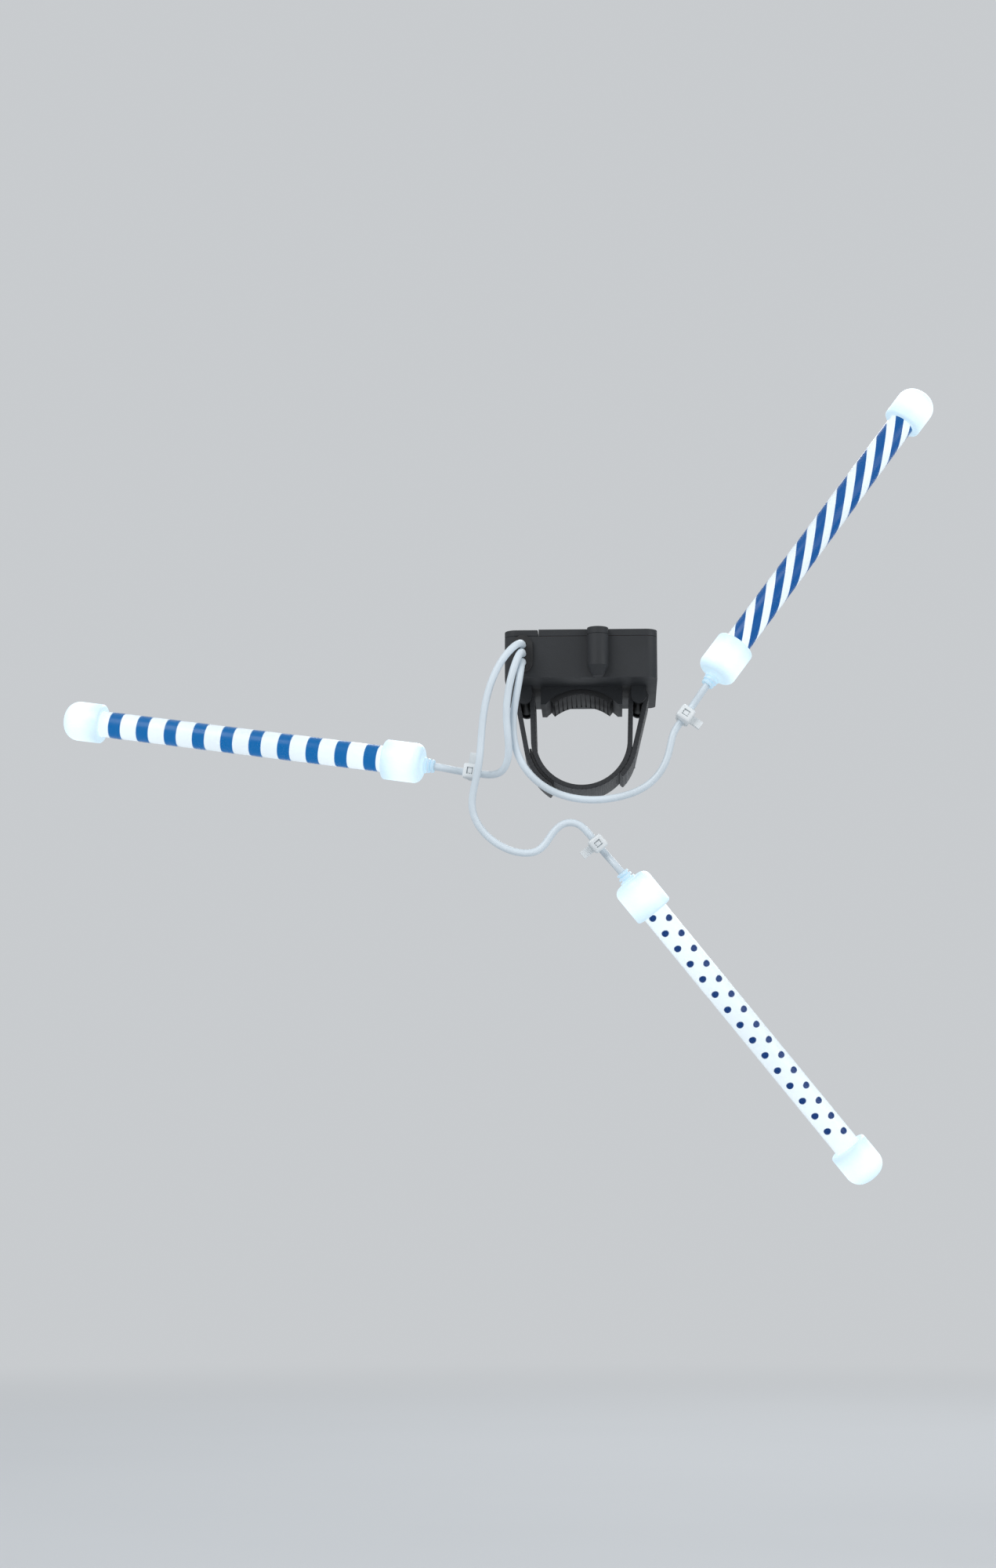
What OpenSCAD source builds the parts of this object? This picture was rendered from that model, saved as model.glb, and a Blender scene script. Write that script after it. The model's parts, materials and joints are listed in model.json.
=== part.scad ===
// Spoke light set: three lit tubes that clip to the spokes of a bicycle wheel,
// fed by a battery pack that is strapped to the wheel's hub.
// Millimetres. Origin at the hub's centre, +Y along the axle, +Z up: the wheel lies in the XZ plane.

/* [Light tubes] */
// Length of one light over both caps
light_len = 114; // [100:1:130]
// Outside diameter of the clear tube
tube_od = 8; // [7.6:0.1:9]
// Wall of the clear tube
tube_wall = 0.8; // [0.6:0.1:0.9]
// Wall of the printed sleeve in the tube
sleeve_wall = 0.2; // [0.15:0.05:0.3]
// Diameter of a diode
led_d = 3; // [2.4:0.1:3.2]
// Height of a diode, flange and dome included
led_h = 5.3; // [4:0.1:8]
// Diameter of the wires along the tube
wire_d = 0.7; // [0.5:0.1:0.8]

/* [End caps] */
// Outside diameter of a cap
cap_od = 12; // [11.4:0.2:14]
// Length of a cap
cap_len = 12; // [11:0.5:14]
// Solid end of a cap, up to the diode
cap_end = 3; // [2.5:0.1:4]
// Depth of the diode's pocket, up to the tube
led_pocket = 2; // [1.5:0.1:3]
// Rounding of an inner cap's end
inner_round = 2.4; // [1:0.2:3]
// Rounding of an outer cap's end
outer_round = 4.4; // [2:0.2:5]
// Rounding of a cap's lip
lip_round = 0.8; // [0.4:0.1:1.2]
// Length of the strain relief on an inner cap
relief_len = 3; // [2:0.5:4]
// Diameter of the strain relief at the cap
relief_d = 5; // [4.5:0.1:6]
// Diameter of the strain relief at its tip
relief_tip_d = 3.8; // [3.6:0.1:4.4]
// Distance of the strain relief from the tube's axis, towards the spoke
relief_y = 2; // [1:0.1:2.2]

/* [Spoke clips] */
// Diameter of the spoke
spoke_d = 2; // [1.8:0.1:2.3]
// Wall of a clip's jaws
clip_wall = 1; // [0.8:0.1:1.4]
// Mouth between the jaws
clip_mouth = 1.5; // [1.2:0.1:1.7]
// Length of a clip along the spoke
clip_len = 8; // [6:0.5:9]
// Web between the cap and the spoke
clip_web = 0.5; // [0.4:0.1:1]

/* [Place on the wheel] */
// Direction of the spoke under the banded light, from +X towards +Z
band_angle = 171; // [150:1:190]
// Distance of the banded light's inner end from the hub, along the spoke
band_start = 45; // [40:1:60]
// Distance of that spoke's line from the hub's axis
band_offset = 18; // [10:0.5:25]
// Direction of the spoke under the striped light
stripe_angle = 54; // [40:1:70]
// Distance of the striped light's inner end along its spoke
stripe_start = 36; // [34:1:50]
// Distance of that spoke's line from the hub's axis
stripe_offset = -23; // [-28:0.5:-15]
// Direction of the spoke under the dotted light
dot_angle = -50.5; // [-70:0.5:-40]
// Distance of the dotted light's inner end along its spoke
dot_start = 44.5; // [40:0.5:60]
// Distance of that spoke's line from the hub's axis
dot_offset = -18.5; // [-25:0.5:-10]
// Slant of the spokes from the flange towards the rim
spoke_slant = 9; // [5:0.5:12]
// Place of the inner ends along the axle
inner_end_y = -31; // [-36:0.5:-26]

/* [Leads and ties] */
// Diameter of a lead
lead_d = 2.2; // [2:0.1:2.4]
// Distance of a tie from the light's inner end
tie_setback = 14.2; // [13.6:0.1:15]
// Width of a tie's band
tie_w = 2.5; // [2:0.1:3]
// Thickness of a tie's band
tie_t = 1; // [0.8:0.1:1.4]
// Length of a tie's head across the lead
tie_head_l = 4.6; // [4:0.1:6]
// Width of a tie's head along the lead
tie_head_w = 4.4; // [4:0.1:5]
// Height of a tie's head
tie_head_h = 3.2; // [2.6:0.1:4]
// Trimmed tail beyond the head
tie_tail = 3.5; // [1:0.5:6]

/* [Cells] */
// Diameter of a cell
cell_d = 10.5; // [10:0.1:10.8]
// Length of a cell with its button contact
cell_len = 44.5; // [43:0.1:46]
// Diameter of a cell's button contact
cell_nub_d = 3.8; // [3:0.1:5]
// Height of a cell's button contact
cell_nub_h = 1; // [0.8:0.1:1.4]
// Room between neighbouring cells
cell_gap = 0.2; // [0.1:0.05:0.5]
// Thickness of a contact plate
plate_t = 0.4; // [0.3:0.1:0.6]
// Width of a contact plate on one cell
plate_w = 8.6; // [7:0.1:9.4]
// Height of a contact plate
plate_h = 8.6; // [7:0.1:9.4]
// Length of a contact spring under its cell
spring_len = 3.2; // [2.8:0.1:4.5]
// Wire of a contact spring
spring_wire = 0.6; // [0.5:0.05:0.7]
// Outside diameter of a contact spring at its plate
spring_base_d = 8; // [7:0.1:8.4]
// Outside diameter of a contact spring at its cell
spring_tip_d = 3.6; // [3:0.1:4.4]

/* [Battery pack] */
// Outer walls of the housing
wall = 1.8; // [1.6:0.1:2.4]
// Wall between the cells and the circuit board
divider = 2.8; // [2.6:0.1:3.6]
// Floor of the housing
floor_t = 1.6; // [1.2:0.1:2.4]
// Width of the circuit board's bay
board_bay = 7.5; // [7.2:0.1:9]
// Room over the cells
head_room = 0.6; // [0.4:0.1:1.2]
// Rounding of the housing's upright edges
edge_round = 3.5; // [2:0.5:5]
// Thickness of the lid and the deck cover
lid_t = 2; // [1.8:0.1:2.6]
// Width of the seal under the lid
seal_w = 0.9; // [0.7:0.05:1]
// Depth of the seal's groove
seal_groove = 0.8; // [0.6:0.1:1]
// Diameter of the hinge pin
pin_d = 2; // [1.6:0.1:2.4]
// Width of the lid's knuckle
knuckle_w = 12; // [8:0.5:18]
// Width of each ear of the hinge
ear_w = 5; // [3:0.5:6]
// Diameter of the lid screw
screw_d = 2.2; // [2:0.1:2.4]
// Length of the lid screw under its head
screw_len = 4; // [3:0.1:4.2]
// Diameter of the lid screw's head
screw_head_d = 4.4; // [4:0.1:4.8]
// Height of the lid screw's head
screw_head_h = 1.1; // [0.9:0.1:1.3]
// Outside diameter of the screw's brass insert
insert_d = 3.8; // [3.6:0.1:4]
// Length of the brass insert
insert_len = 5; // [4:0.5:8]
// Grooves of the lid's thumb grip
grip_count = 4; // [2:1:6]
// Length of a grip groove
grip_len = 14; // [8:1:20]
// Outside diameter of the screw boss
boss_d = 6.4; // [6.2:0.1:8]

/* [Switch] */
// Diameter of the push button
button_d = 6; // [5:0.1:6.2]
// Height of the button over the deck cover
button_rise = 1.6; // [1.2:0.1:2.4]
// Travel of the button
button_travel = 0.6; // [0.3:0.1:0.8]
// Side of the switch body
switch_side = 4.5; // [4:0.1:5]
// Height of the switch body
switch_h = 3.2; // [2.8:0.1:3.6]
// Thickness of the circuit board
board_t = 1; // [0.8:0.1:1.4]
// Length of the circuit board
board_len = 38; // [36:1:42]

/* [Hub strap] */
// Diameter of the hub's barrel
hub_d = 28; // [26:0.5:32]
// Thickness of the pad on the hub
pad_t = 1.5; // [1:0.1:2.5]
// Arc of the hub that the pad covers
pad_arc = 76; // [60:1:84]
// Width of the strap and the pad
strap_w = 22; // [16:1:26]
// Thickness of the strap
strap_t = 1.6; // [1.2:0.1:1.8]
// Thickness of the hook patch
hook_t = 0.8; // [0.6:0.1:1.2]
// Arc of the hub that the hook patch covers
hook_arc = 46; // [30:1:60]
// Diameter of the bars that carry the strap
bar_d = 3; // [2.4:0.1:3.4]
// Distance of each bar from the middle
bar_x = 17.5; // [17:0.1:18.5]

/* [Hidden] */
$fn = 48;
eps = 0.01;
fit = 0.05;

LIGHTS = ["band", "stripe", "dot"];
angles = [band_angle, stripe_angle, dot_angle];
starts = [band_start, stripe_start, dot_start];
offsets = [band_offset, stripe_offset, dot_offset];

// Light tube and caps, along +Z from the inner end, with the spoke on the +Y side
cap_r = cap_od / 2;
socket_z = cap_end + led_pocket;
socket_r = tube_od / 2 + fit;
sleeve_r = tube_od / 2 - tube_wall - fit;
pocket_r = sleeve_r - sleeve_wall;
led_rim = 0.3;
led_flange_r = led_d / 2 + led_rim;
led_flange_h = 1;
wire_gap = 0.1;
wire_ring = pocket_r - wire_d / 2 - wire_gap;
wire_spread = 24;
lead_r = lead_d / 2;
lead_skin = 0.4;
lead_seat = cap_end - 1;
relief_grooves = 2;
relief_wall = 0.4;
groove_w = 0.6;
spoke_r = spoke_d / 2;
spoke_y = cap_r + clip_web + spoke_r;
clip_r = spoke_r + clip_wall;
clip_root = 1;
lead_y = spoke_y - spoke_r - lead_r;
tie_r = lead_r + fit;
tie_chamfer = 0.8;
tie_root = 0.4;
tie_inset = 0.1;
tie_slot = [1.8, 0.7, 1.5];

// Battery pack
hub_r = hub_d / 2;
saddle_web = 0.8;
pack_z = hub_r + pad_t + saddle_web;
inner_z = pack_z + floor_t;
rim_z = inner_z + cell_d + head_room;
seat_gap = 0.1;
lid_z = rim_z + seat_gap;
top_z = lid_z + lid_t;
cell_pitch = cell_d + cell_gap;
cell_bay = 3 * cell_pitch + cell_gap;
bay_len = cell_len + spring_len + 2 * plate_t;
pack_w = 2 * wall + board_bay + divider + cell_bay;
pack_len = bay_len + 2 * wall;
near_y = -pack_len / 2;
far_y = pack_len / 2;
board_x = -pack_w / 2 + wall + board_bay / 2;
cells_x0 = -pack_w / 2 + wall + board_bay + divider;
cells_x = cells_x0 + cell_bay / 2;
cell_z = inner_z + cell_d / 2;
seal_edge = (wall - seal_w) / 2;
seal_edge_x = cells_x0 - seal_edge - seal_w;
lid_overhang = 0.4;
lid_seam = 0.2;
lid_edge_x = seal_edge_x - lid_overhang;
deck_edge_x = lid_edge_x - lid_seam;
knuckle_wall = 1.2;
hinge_gap = 0.4;
ear_gap = 0.3;
ear_drop = 3;
lid_root = 1;
knuckle_r = pin_d / 2 + knuckle_wall;
hinge_y = far_y + knuckle_r + hinge_gap;
hinge_z = lid_z + lid_t / 2;
boss_y = near_y - boss_d / 2 + wall;
screw_hole_gap = 0.2;
thread_gap = 0.2;
screw_cross = [2.6, 0.6];
screw_cross_depth = 0.6;
spigot_h = 1.2;
spigot_t = 1;
spigot_gap = 0.3;
grip_w = 1.2;
grip_pitch = 2.6;
grip_depth = 0.5;
grip_setback = 7;
rib_w = 1;
rib_h = 2;
rib_gap = 0.3;
cell_round = 0.6;
notch_w = 2.5;
notch_h = 2;
notch_setback = 4;
notch_drop = 3;

// Switch: the board lies on two ledges, under the deck cover
ledge_h = 3.4;
board_z = inner_z + ledge_h;
board_gap = 0.3;
switch_z = board_z + board_t;
plunger_r = 1.2;
plunger_rise = 1.2;
plunger_seat = 1.2;
well_gap = 0.1;
well_room = 0.2;
plunger_top = switch_z + switch_h + plunger_rise;
flange_h = 0.9;
flange_rim = 0.5;
button_r = button_d / 2;
flange_r = button_r + flange_rim;
button_gap = 0.3;
button_round = 0.9;
stem_rim = 0.6;
chip = [4, 5, 1.6];
chip_y = 7.6;
resistor_d = 1.6;
resistor_l = 4;
resistor_y = -8.4;
resistor_pitch = 2.4;
ledge_l = 3;
collar_h = 0.6;
collar_w = 0.9;

// Lead grommet: three holes, one above another, in the near wall
grommet_pitch = 2.7;
grommet_wall = 0.9;
grommet_rim = 1;
grommet_r = lead_r + fit + grommet_wall;
grommet_z = (inner_z + rim_z) / 2;
grommet_lip = 1.2;
grommet_lip_in = 0.6;

// Strap, in a plane across the hub: bars, tangent runs and arcs
bar_r = bar_d / 2;
bar_z = pack_z - bar_r - strap_t - 2 * fit;
bar_dist = norm([bar_x, bar_z]);
bar_angle = atan2(bar_z, bar_x);
strap_mid = hub_r + strap_t / 2;
loop_mid = bar_r + fit + strap_t / 2;
run_angle = bar_angle - acos((strap_mid + loop_mid) / bar_dist);
sewn_mid = strap_mid + strap_t;
hook_mid = strap_mid + strap_t + hook_t;
sewn_angle = bar_angle - acos((sewn_mid - loop_mid) / bar_dist);
hook_angle = bar_angle - acos((hook_mid - loop_mid) / bar_dist);
sewn_arc = 30;
ply_gap = 0.06;
strap_lap = 10;
strap_steps = 8;
lug_w = 2;
lug_gap = 0.5;
lug_wall = 0.8;
saddle_x = 12.5;
saddle_drop = 5.4;
saddle_z = pack_z - saddle_drop;

// Leads: hand-set points from the grommet round the hub, then a shared run along the spoke to the cap
lead_holes = [0, -1, 1];
band_route = [
    [-17.6, -30.5, 23.4], [-18, -33.3, 22.7], [-18.8, -35.3, 20.6], [-20, -36.2, 17.2], [-21.4, -36.4, 11.5],
    [-22.2, -36.2, 5.5], [-22, -35.6, -0.5], [-21.4, -34, -5.6], [-21.7, -32, -9.8], [-23.2, -30.2, -13]
];
stripe_route = [
    [-17.6, -30.2, 20.6], [-17.7, -32.9, 19.4], [-17.9, -34.7, 17], [-18.3, -35.3, 13.9], [-19.2, -35, 9],
    [-20.4, -33.4, 2.6], [-20.2, -31.8, -4.8], [-17.4, -31, -12.2], [-11.5, -30.5, -18], [-4, -30, -21.2],
    [4, -29.8, -22], [12, -29.7, -21], [19.4, -29.5, -18.2], [24.4, -29.2, -13], [26.6, -28.9, -6.6]
];
dot_route = [
    [-17.7, -29.8, 26.1], [-18.3, -32.3, 25.7], [-19.8, -34.3, 24.4], [-22, -35.2, 22], [-24.8, -35.5, 17.8],
    [-27.2, -35.4, 12], [-28.8, -35.2, 5.5], [-29.5, -35.1, -1], [-29.9, -34.9, -7.5], [-30.6, -34.6, -13.8],
    [-32.2, -33.8, -19.5], [-32.8, -32.6, -25], [-30.4, -31.4, -30.4], [-26, -30.6, -34.6],
    [-20.5, -30.1, -37.4], [-15, -29.9, -37.9], [-11.9, -29.7, -36.4], [-9.9, -29.5, -33.6],
    [-7.9, -29.3, -30.5], [-5.2, -29.1, -28.4], [-1.9, -28.9, -28.3]
];
routes = [band_route, stripe_route, dot_route];
tie_reach = tie_head_w / 2 + 0.2;
tie_out = -tie_setback - tie_reach;
tie_in = -tie_setback + tie_reach;
bend = -relief_len - tie_in;
tail_route = [
    [0, lead_y, tie_out - 4], [0, lead_y, tie_out], [0, lead_y, tie_in],
    [0, lead_y - 0.5, tie_in + bend / 4], [0, (lead_y + relief_y) / 2, tie_in + bend / 2],
    [0, relief_y + 0.5, tie_in + 3 * bend / 4], [0, relief_y, -relief_len], [0, relief_y, -0.5],
    [0, relief_y, lead_seat]
];
lead_sides = 8;
spring_sides = 6;
spring_turns = 3;
spring_steps = 8;

LIGHT_PARTS = ["tube", "sleeve", "inner_cap", "outer_cap", "inner_led", "outer_led", "wires", "lead",
    "lead_tie"];
PACK_PARTS = ["pack_housing", "battery_lid", "lid_seal", "hinge_pin", "lid_screw", "screw_insert",
    "cell_left", "cell_middle", "cell_right", "contact_plates", "contact_springs", "circuit_board",
    "board_parts", "switch_body", "switch_plunger", "deck_cover", "push_button", "lead_grommet",
    "hub_pad", "hub_strap", "hook_patch"];

// Vectors and swept tubes
function unit(v) = v / norm(v);
function direction(p, i) = unit(p[min(i + 1, len(p) - 1)] - p[max(i - 1, 0)]);
function square_to(n, t) = unit(n - (n * t) * t);
function normals(p, n, i = 0) =
    i == len(p) ? [] :
    let (m = square_to(n, direction(p, i))) concat([m], normals(p, m, i + 1));
function ring(c, t, n, r, sides) =
    [for (k = [0 : sides - 1]) let (a = 360 * k / sides) c + r * (cos(a) * n + sin(a) * cross(t, n))];

module swept_tube(p, r, sides, first_normal) {
    n = normals(p, first_normal);
    last = len(p) - 1;
    points = [for (i = [0 : last]) each ring(p[i], direction(p, i), n[i], r, sides)];
    near_end = [for (k = [1 : sides - 2]) [0, k, k + 1]];
    far_end = [for (k = [1 : sides - 2]) [last * sides, last * sides + k + 1, last * sides + k]];
    skin = [for (i = [0 : last - 1], k = [0 : sides - 1])
        let (a = i * sides + k, b = i * sides + (k + 1) % sides)
        each [[a, a + sides, b], [b, a + sides, b + sides]]];
    polyhedron(points, concat(near_end, skin, far_end));
}

// A point of a light, from its own frame to the wheel's
function on_wheel(i, p) =
    let (
        c = cos(angles[i]),
        s = sin(angles[i]),
        along = starts[i] + p.z * cos(spoke_slant) - p.y * sin(spoke_slant),
        across = offsets[i] - p.x,
        depth = inner_end_y + p.z * sin(spoke_slant) + p.y * cos(spoke_slant)
    )
    [along * c - across * s, depth, along * s + across * c];

module on_spoke(i) {
    translate([0, inner_end_y, 0])
        rotate([0, 90 - angles[i], 0])
        translate([-offsets[i], 0, starts[i]])
        rotate([-spoke_slant, 0, 0])
        children();
}

// Light tube
module clear_tube() {
    color("aliceblue", 0.4)
        translate([0, 0, socket_z])
        difference() {
            cylinder(h = light_len - 2 * socket_z, r = tube_od / 2);
            translate([0, 0, -eps]) cylinder(h = light_len, r = tube_od / 2 - tube_wall);
        }
}

module printed_sleeve() {
    color("deepskyblue")
        translate([0, 0, socket_z])
        difference() {
            cylinder(h = light_len - 2 * socket_z, r = sleeve_r);
            translate([0, 0, -eps]) cylinder(h = light_len, r = pocket_r);
        }
}

// What a rounded corner takes off a square one
module corner_cut(r) {
    difference() {
        square(r);
        circle(r);
    }
}

module cap_outline(end_round) {
    difference() {
        square([cap_r, cap_len]);
        translate([cap_r - end_round, end_round]) mirror([0, 1]) corner_cut(end_round);
        translate([cap_r - lip_round, cap_len - lip_round]) corner_cut(lip_round);
    }
}

module clip_outline() {
    translate([0, spoke_y])
        difference() {
            union() {
                circle(clip_r);
                translate([-clip_r, -clip_web - spoke_r - clip_root])
                    square([2 * clip_r, clip_web + spoke_r + clip_root]);
            }
            circle(spoke_r);
            translate([-clip_mouth / 2, 0]) square([clip_mouth, 2 * clip_r]);
            translate([0, clip_r]) rotate(45) square(clip_mouth, center = true);
        }
}

module cap_body(end_round) {
    difference() {
        union() {
            rotate_extrude() cap_outline(end_round);
            translate([0, 0, (cap_len - clip_len) / 2]) linear_extrude(clip_len) clip_outline();
        }
        translate([0, 0, cap_end]) cylinder(h = cap_len, r = pocket_r);
        translate([0, 0, socket_z]) cylinder(h = cap_len, r = socket_r);
    }
}

module strain_relief() {
    pitch = relief_len / (relief_grooves + 0.5);
    difference() {
        union() {
            translate([0, 0, -relief_len]) cylinder(h = relief_len + eps, d1 = relief_tip_d, d2 = relief_d);
            cylinder(h = cap_end, d = relief_d);
        }
        for (k = [1 : relief_grooves])
            translate([0, 0, -k * pitch])
                difference() {
                    cylinder(h = groove_w, d = 2 * relief_d);
                    translate([0, 0, -eps]) cylinder(h = groove_w + 2 * eps, r = lead_r + fit + relief_wall);
                }
    }
}

module inner_cap() {
    color("white")
        difference() {
            union() {
                cap_body(inner_round);
                translate([0, relief_y, 0]) strain_relief();
            }
            translate([0, relief_y, -relief_len - eps])
                cylinder(h = relief_len + lead_seat + eps, r = lead_r + fit);
            translate([0, relief_y, 0]) cylinder(h = cap_end + eps, r = lead_r - lead_skin);
        }
}

module outer_cap() {
    color("white") translate([0, 0, light_len]) mirror([0, 0, 1]) cap_body(outer_round);
}

module diode() {
    color("lightcyan")
        translate([0, 0, cap_end]) {
            cylinder(h = led_flange_h, r = led_flange_r);
            cylinder(h = led_h - led_d / 2, d = led_d);
            translate([0, 0, led_h - led_d / 2]) sphere(d = led_d);
        }
}

module far_diode() {
    translate([0, 0, light_len]) mirror([0, 0, 1]) diode();
}

module tube_wires() {
    color("firebrick")
        for (side = [-1, 1])
            rotate(side * wire_spread)
                translate([0, wire_ring, cap_end])
                cylinder(h = light_len - 2 * cap_end, d = wire_d);
}

// Lead and its cable tie
function lead_points(i) =
    let (z = grommet_z + lead_holes[i] * grommet_pitch)
    concat(
        [[board_x, near_y + wall + grommet_lip_in, z], [board_x, near_y - grommet_lip, z]],
        routes[i],
        [for (p = tail_route) on_wheel(i, p)]
    );

module lead(i) {
    color("lightsteelblue") swept_tube(lead_points(i), lead_r, lead_sides, [0, 0, 1]);
}

module loop_outline(r) {
    translate([0, lead_y]) circle(r);
    translate([0, spoke_y]) circle(r);
    translate([-r, lead_y]) square([2 * r, spoke_y - lead_y]);
}

module lead_tie() {
    band_y = lead_y - tie_r;
    head_y = band_y - tie_head_h;
    color("whitesmoke")
        translate([0, 0, -tie_setback])
        difference() {
            union() {
                linear_extrude(tie_w, center = true) loop_outline(tie_r + tie_t);
                linear_extrude(tie_head_w, center = true)
                    polygon([
                        [-tie_head_l / 2, band_y + tie_root],
                        [-tie_head_l / 2, head_y + tie_chamfer],
                        [-tie_head_l / 2 + tie_chamfer, head_y],
                        [tie_head_l / 2 - tie_chamfer, head_y],
                        [tie_head_l / 2, head_y + tie_chamfer],
                        [tie_head_l / 2, band_y + tie_root]
                    ]);
                translate([0, band_y - tie_t, -tie_w / 2 + tie_inset])
                    cube([tie_head_l / 2 + tie_tail, tie_t, tie_w - 2 * tie_inset]);
            }
            linear_extrude(2 * tie_head_w, center = true) loop_outline(tie_r);
            translate([0, head_y, 0]) cube([tie_slot.x, 2 * tie_slot.y, tie_slot.z], center = true);
        }
}

// Battery pack
module rounded_plan(inset = 0) {
    w = pack_w - 2 * edge_round;
    l = pack_len - 2 * edge_round;
    square([pack_w - 2 * inset, l], center = true);
    square([w, pack_len - 2 * inset], center = true);
    for (x = [-w / 2, w / 2], y = [-l / 2, l / 2]) translate([x, y]) circle(edge_round - inset);
}

// A solid across the hub, drawn in a plane of X and Z and centred on the strap
module across_hub() {
    rotate([90, 0, 0]) children();
}

// An ear of the hinge: a barrel on a gusset that stands on the housing's far wall
module hinge_ear() {
    root = far_y - hinge_y - wall / 2;
    top = rim_z - hinge_z;
    rotate([90, 0, 90])
        linear_extrude(ear_w, center = true) {
            circle(knuckle_r);
            polygon([[root, top], [0, top], [0, -knuckle_r], [root, -knuckle_r - ear_drop]]);
        }
}

module pin_bore(r) {
    translate([cells_x - pack_w / 2, hinge_y, hinge_z]) rotate([0, 90, 0]) cylinder(h = pack_w, r = r);
}

module obround(w, h, t) {
    for (z = [-(h - w) / 2, (h - w) / 2]) translate([0, 0, z]) rotate([-90, 0, 0]) cylinder(h = t, d = w);
    translate([-w / 2, 0, -(h - w) / 2]) cube([w, t, h - w]);
}

module grommet_slab(margin, t) {
    w = 2 * (grommet_r + margin);
    obround(w, 2 * grommet_pitch + w, t);
}

module strap_lug(side) {
    y0 = strap_w / 2 + lug_gap;
    lug_r = bar_r + lug_wall;
    translate([side * bar_x, 0, bar_z]) {
        for (end = [-1, 1])
            translate([0, end * (y0 + lug_w / 2), 0]) {
                rotate([90, 0, 0]) cylinder(h = lug_w, r = lug_r, center = true);
                translate([-lug_r, -lug_w / 2, 0]) cube([2 * lug_r, lug_w, pack_z - bar_z + eps]);
            }
        rotate([90, 0, 0]) cylinder(h = 2 * y0 + lug_w, r = bar_r, center = true);
    }
}

module pack_saddle() {
    difference() {
        translate([-saddle_x, -strap_w / 2, saddle_z]) cube([2 * saddle_x, strap_w, pack_z - saddle_z + eps]);
        across_hub() cylinder(h = 2 * strap_w, r = hub_r + pad_t + fit, center = true);
    }
}

// Room for the cells and for the circuit board, from a height up
module cell_room(z) {
    translate([cells_x0, -bay_len / 2, z]) cube([cell_bay, bay_len, rim_z]);
}

module board_room() {
    translate([board_x - board_bay / 2, -bay_len / 2, inner_z]) cube([board_bay, bay_len, rim_z]);
}

// Ribs between the cells, clear of the contact plates at both ends
module cell_ribs() {
    l = bay_len - 2 * (plate_t + rib_gap);
    for (k = [1, 2])
        translate([cells_x0 + cell_gap / 2 + k * cell_pitch - rib_w / 2, -l / 2, inner_z - eps])
            cube([rib_w, l, rib_h]);
}

module board_ledges() {
    w = board_bay + 2 * eps;
    for (end = [-1, 1])
        translate([board_x - w / 2, end * (board_len / 2 - ledge_l) - ledge_l / 2, inner_z - eps])
            cube([w, ledge_l, ledge_h + eps]);
}

module screw_boss() {
    cone_h = boss_d / 2;
    translate([cells_x, boss_y, pack_z]) {
        cylinder(h = cone_h + eps, d1 = boss_d / 2, d2 = boss_d);
        translate([0, 0, cone_h]) cylinder(h = rim_z - pack_z - cone_h, d = boss_d);
    }
}

module pack_housing() {
    color("dimgray")
        difference() {
            union() {
                difference() {
                    translate([0, 0, pack_z]) linear_extrude(rim_z - pack_z) rounded_plan();
                    cell_room(inner_z);
                    board_room();
                }
                cell_ribs();
                board_ledges();
                screw_boss();
                for (side = [-1, 1])
                    translate([cells_x + side * ((knuckle_w + ear_w) / 2 + ear_gap), hinge_y, hinge_z])
                        hinge_ear();
                for (side = [-1, 1]) strap_lug(side);
                pack_saddle();
            }
            cell_room(inner_z + rib_h);
            translate([cells_x, boss_y, rim_z - insert_len]) cylinder(h = rim_z, d = insert_d + 2 * fit);
            translate([board_x, near_y - wall, grommet_z]) grommet_slab(fit, 3 * wall);
            translate([cells_x0 - divider - eps, bay_len / 2 - notch_setback, rim_z - notch_drop])
                cube([divider + 2 * eps, notch_w, notch_h]);
            pin_bore(pin_d / 2 + fit);
        }
}

// The lid covers the cells, and the deck cover the circuit board
module lid_plan(inset, edge_x) {
    intersection() {
        rounded_plan(inset);
        translate([edge_x, -pack_len]) square([pack_w, 2 * pack_len]);
    }
}

// A ring on the tops of the walls round the cells
module seal_ring(slack) {
    difference() {
        lid_plan(seal_edge - slack, seal_edge_x - slack);
        lid_plan(seal_edge + seal_w + slack, seal_edge_x + seal_w + slack);
    }
}

// The rim under the lid that drops into the cells' room
module lid_spigot() {
    w = cell_bay - 2 * spigot_gap;
    l = bay_len - 2 * spigot_gap;
    translate([cells_x, 0, lid_z - spigot_h])
        linear_extrude(spigot_h + eps)
        difference() {
            square([w, l], center = true);
            square([w - 2 * spigot_t, l - 2 * spigot_t], center = true);
        }
}

module grip_grooves() {
    for (k = [0 : grip_count - 1])
        translate([cells_x, near_y + grip_setback + k * grip_pitch, top_z])
            cube([grip_len, grip_w, 2 * grip_depth], center = true);
}

module battery_lid() {
    color("dimgray")
        difference() {
            union() {
                translate([0, 0, lid_z]) linear_extrude(lid_t) lid_plan(0, lid_edge_x);
                translate([cells_x, boss_y, lid_z]) cylinder(h = lid_t, d = boss_d);
                translate([cells_x - knuckle_w / 2, hinge_y, hinge_z]) {
                    rotate([0, 90, 0]) cylinder(h = knuckle_w, r = knuckle_r);
                    translate([0, far_y - hinge_y - lid_root, -lid_t / 2])
                        cube([knuckle_w, hinge_y - far_y + lid_root, lid_t]);
                }
                lid_spigot();
            }
            translate([0, 0, lid_z - eps]) linear_extrude(seal_groove + eps) seal_ring(fit);
            grip_grooves();
            translate([cells_x, boss_y, 0]) {
                cylinder(h = 2 * top_z, d = screw_d + 2 * screw_hole_gap);
                translate([0, 0, top_z - screw_head_h])
                    cylinder(h = lid_t, d = screw_head_d + 2 * screw_hole_gap);
            }
            pin_bore(pin_d / 2 + fit);
        }
}

module hinge_pin() {
    w = knuckle_w + 2 * (ear_w + ear_gap);
    color("silver")
        translate([cells_x - w / 2, hinge_y, hinge_z])
        rotate([0, 90, 0])
        cylinder(h = w, d = pin_d);
}

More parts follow.
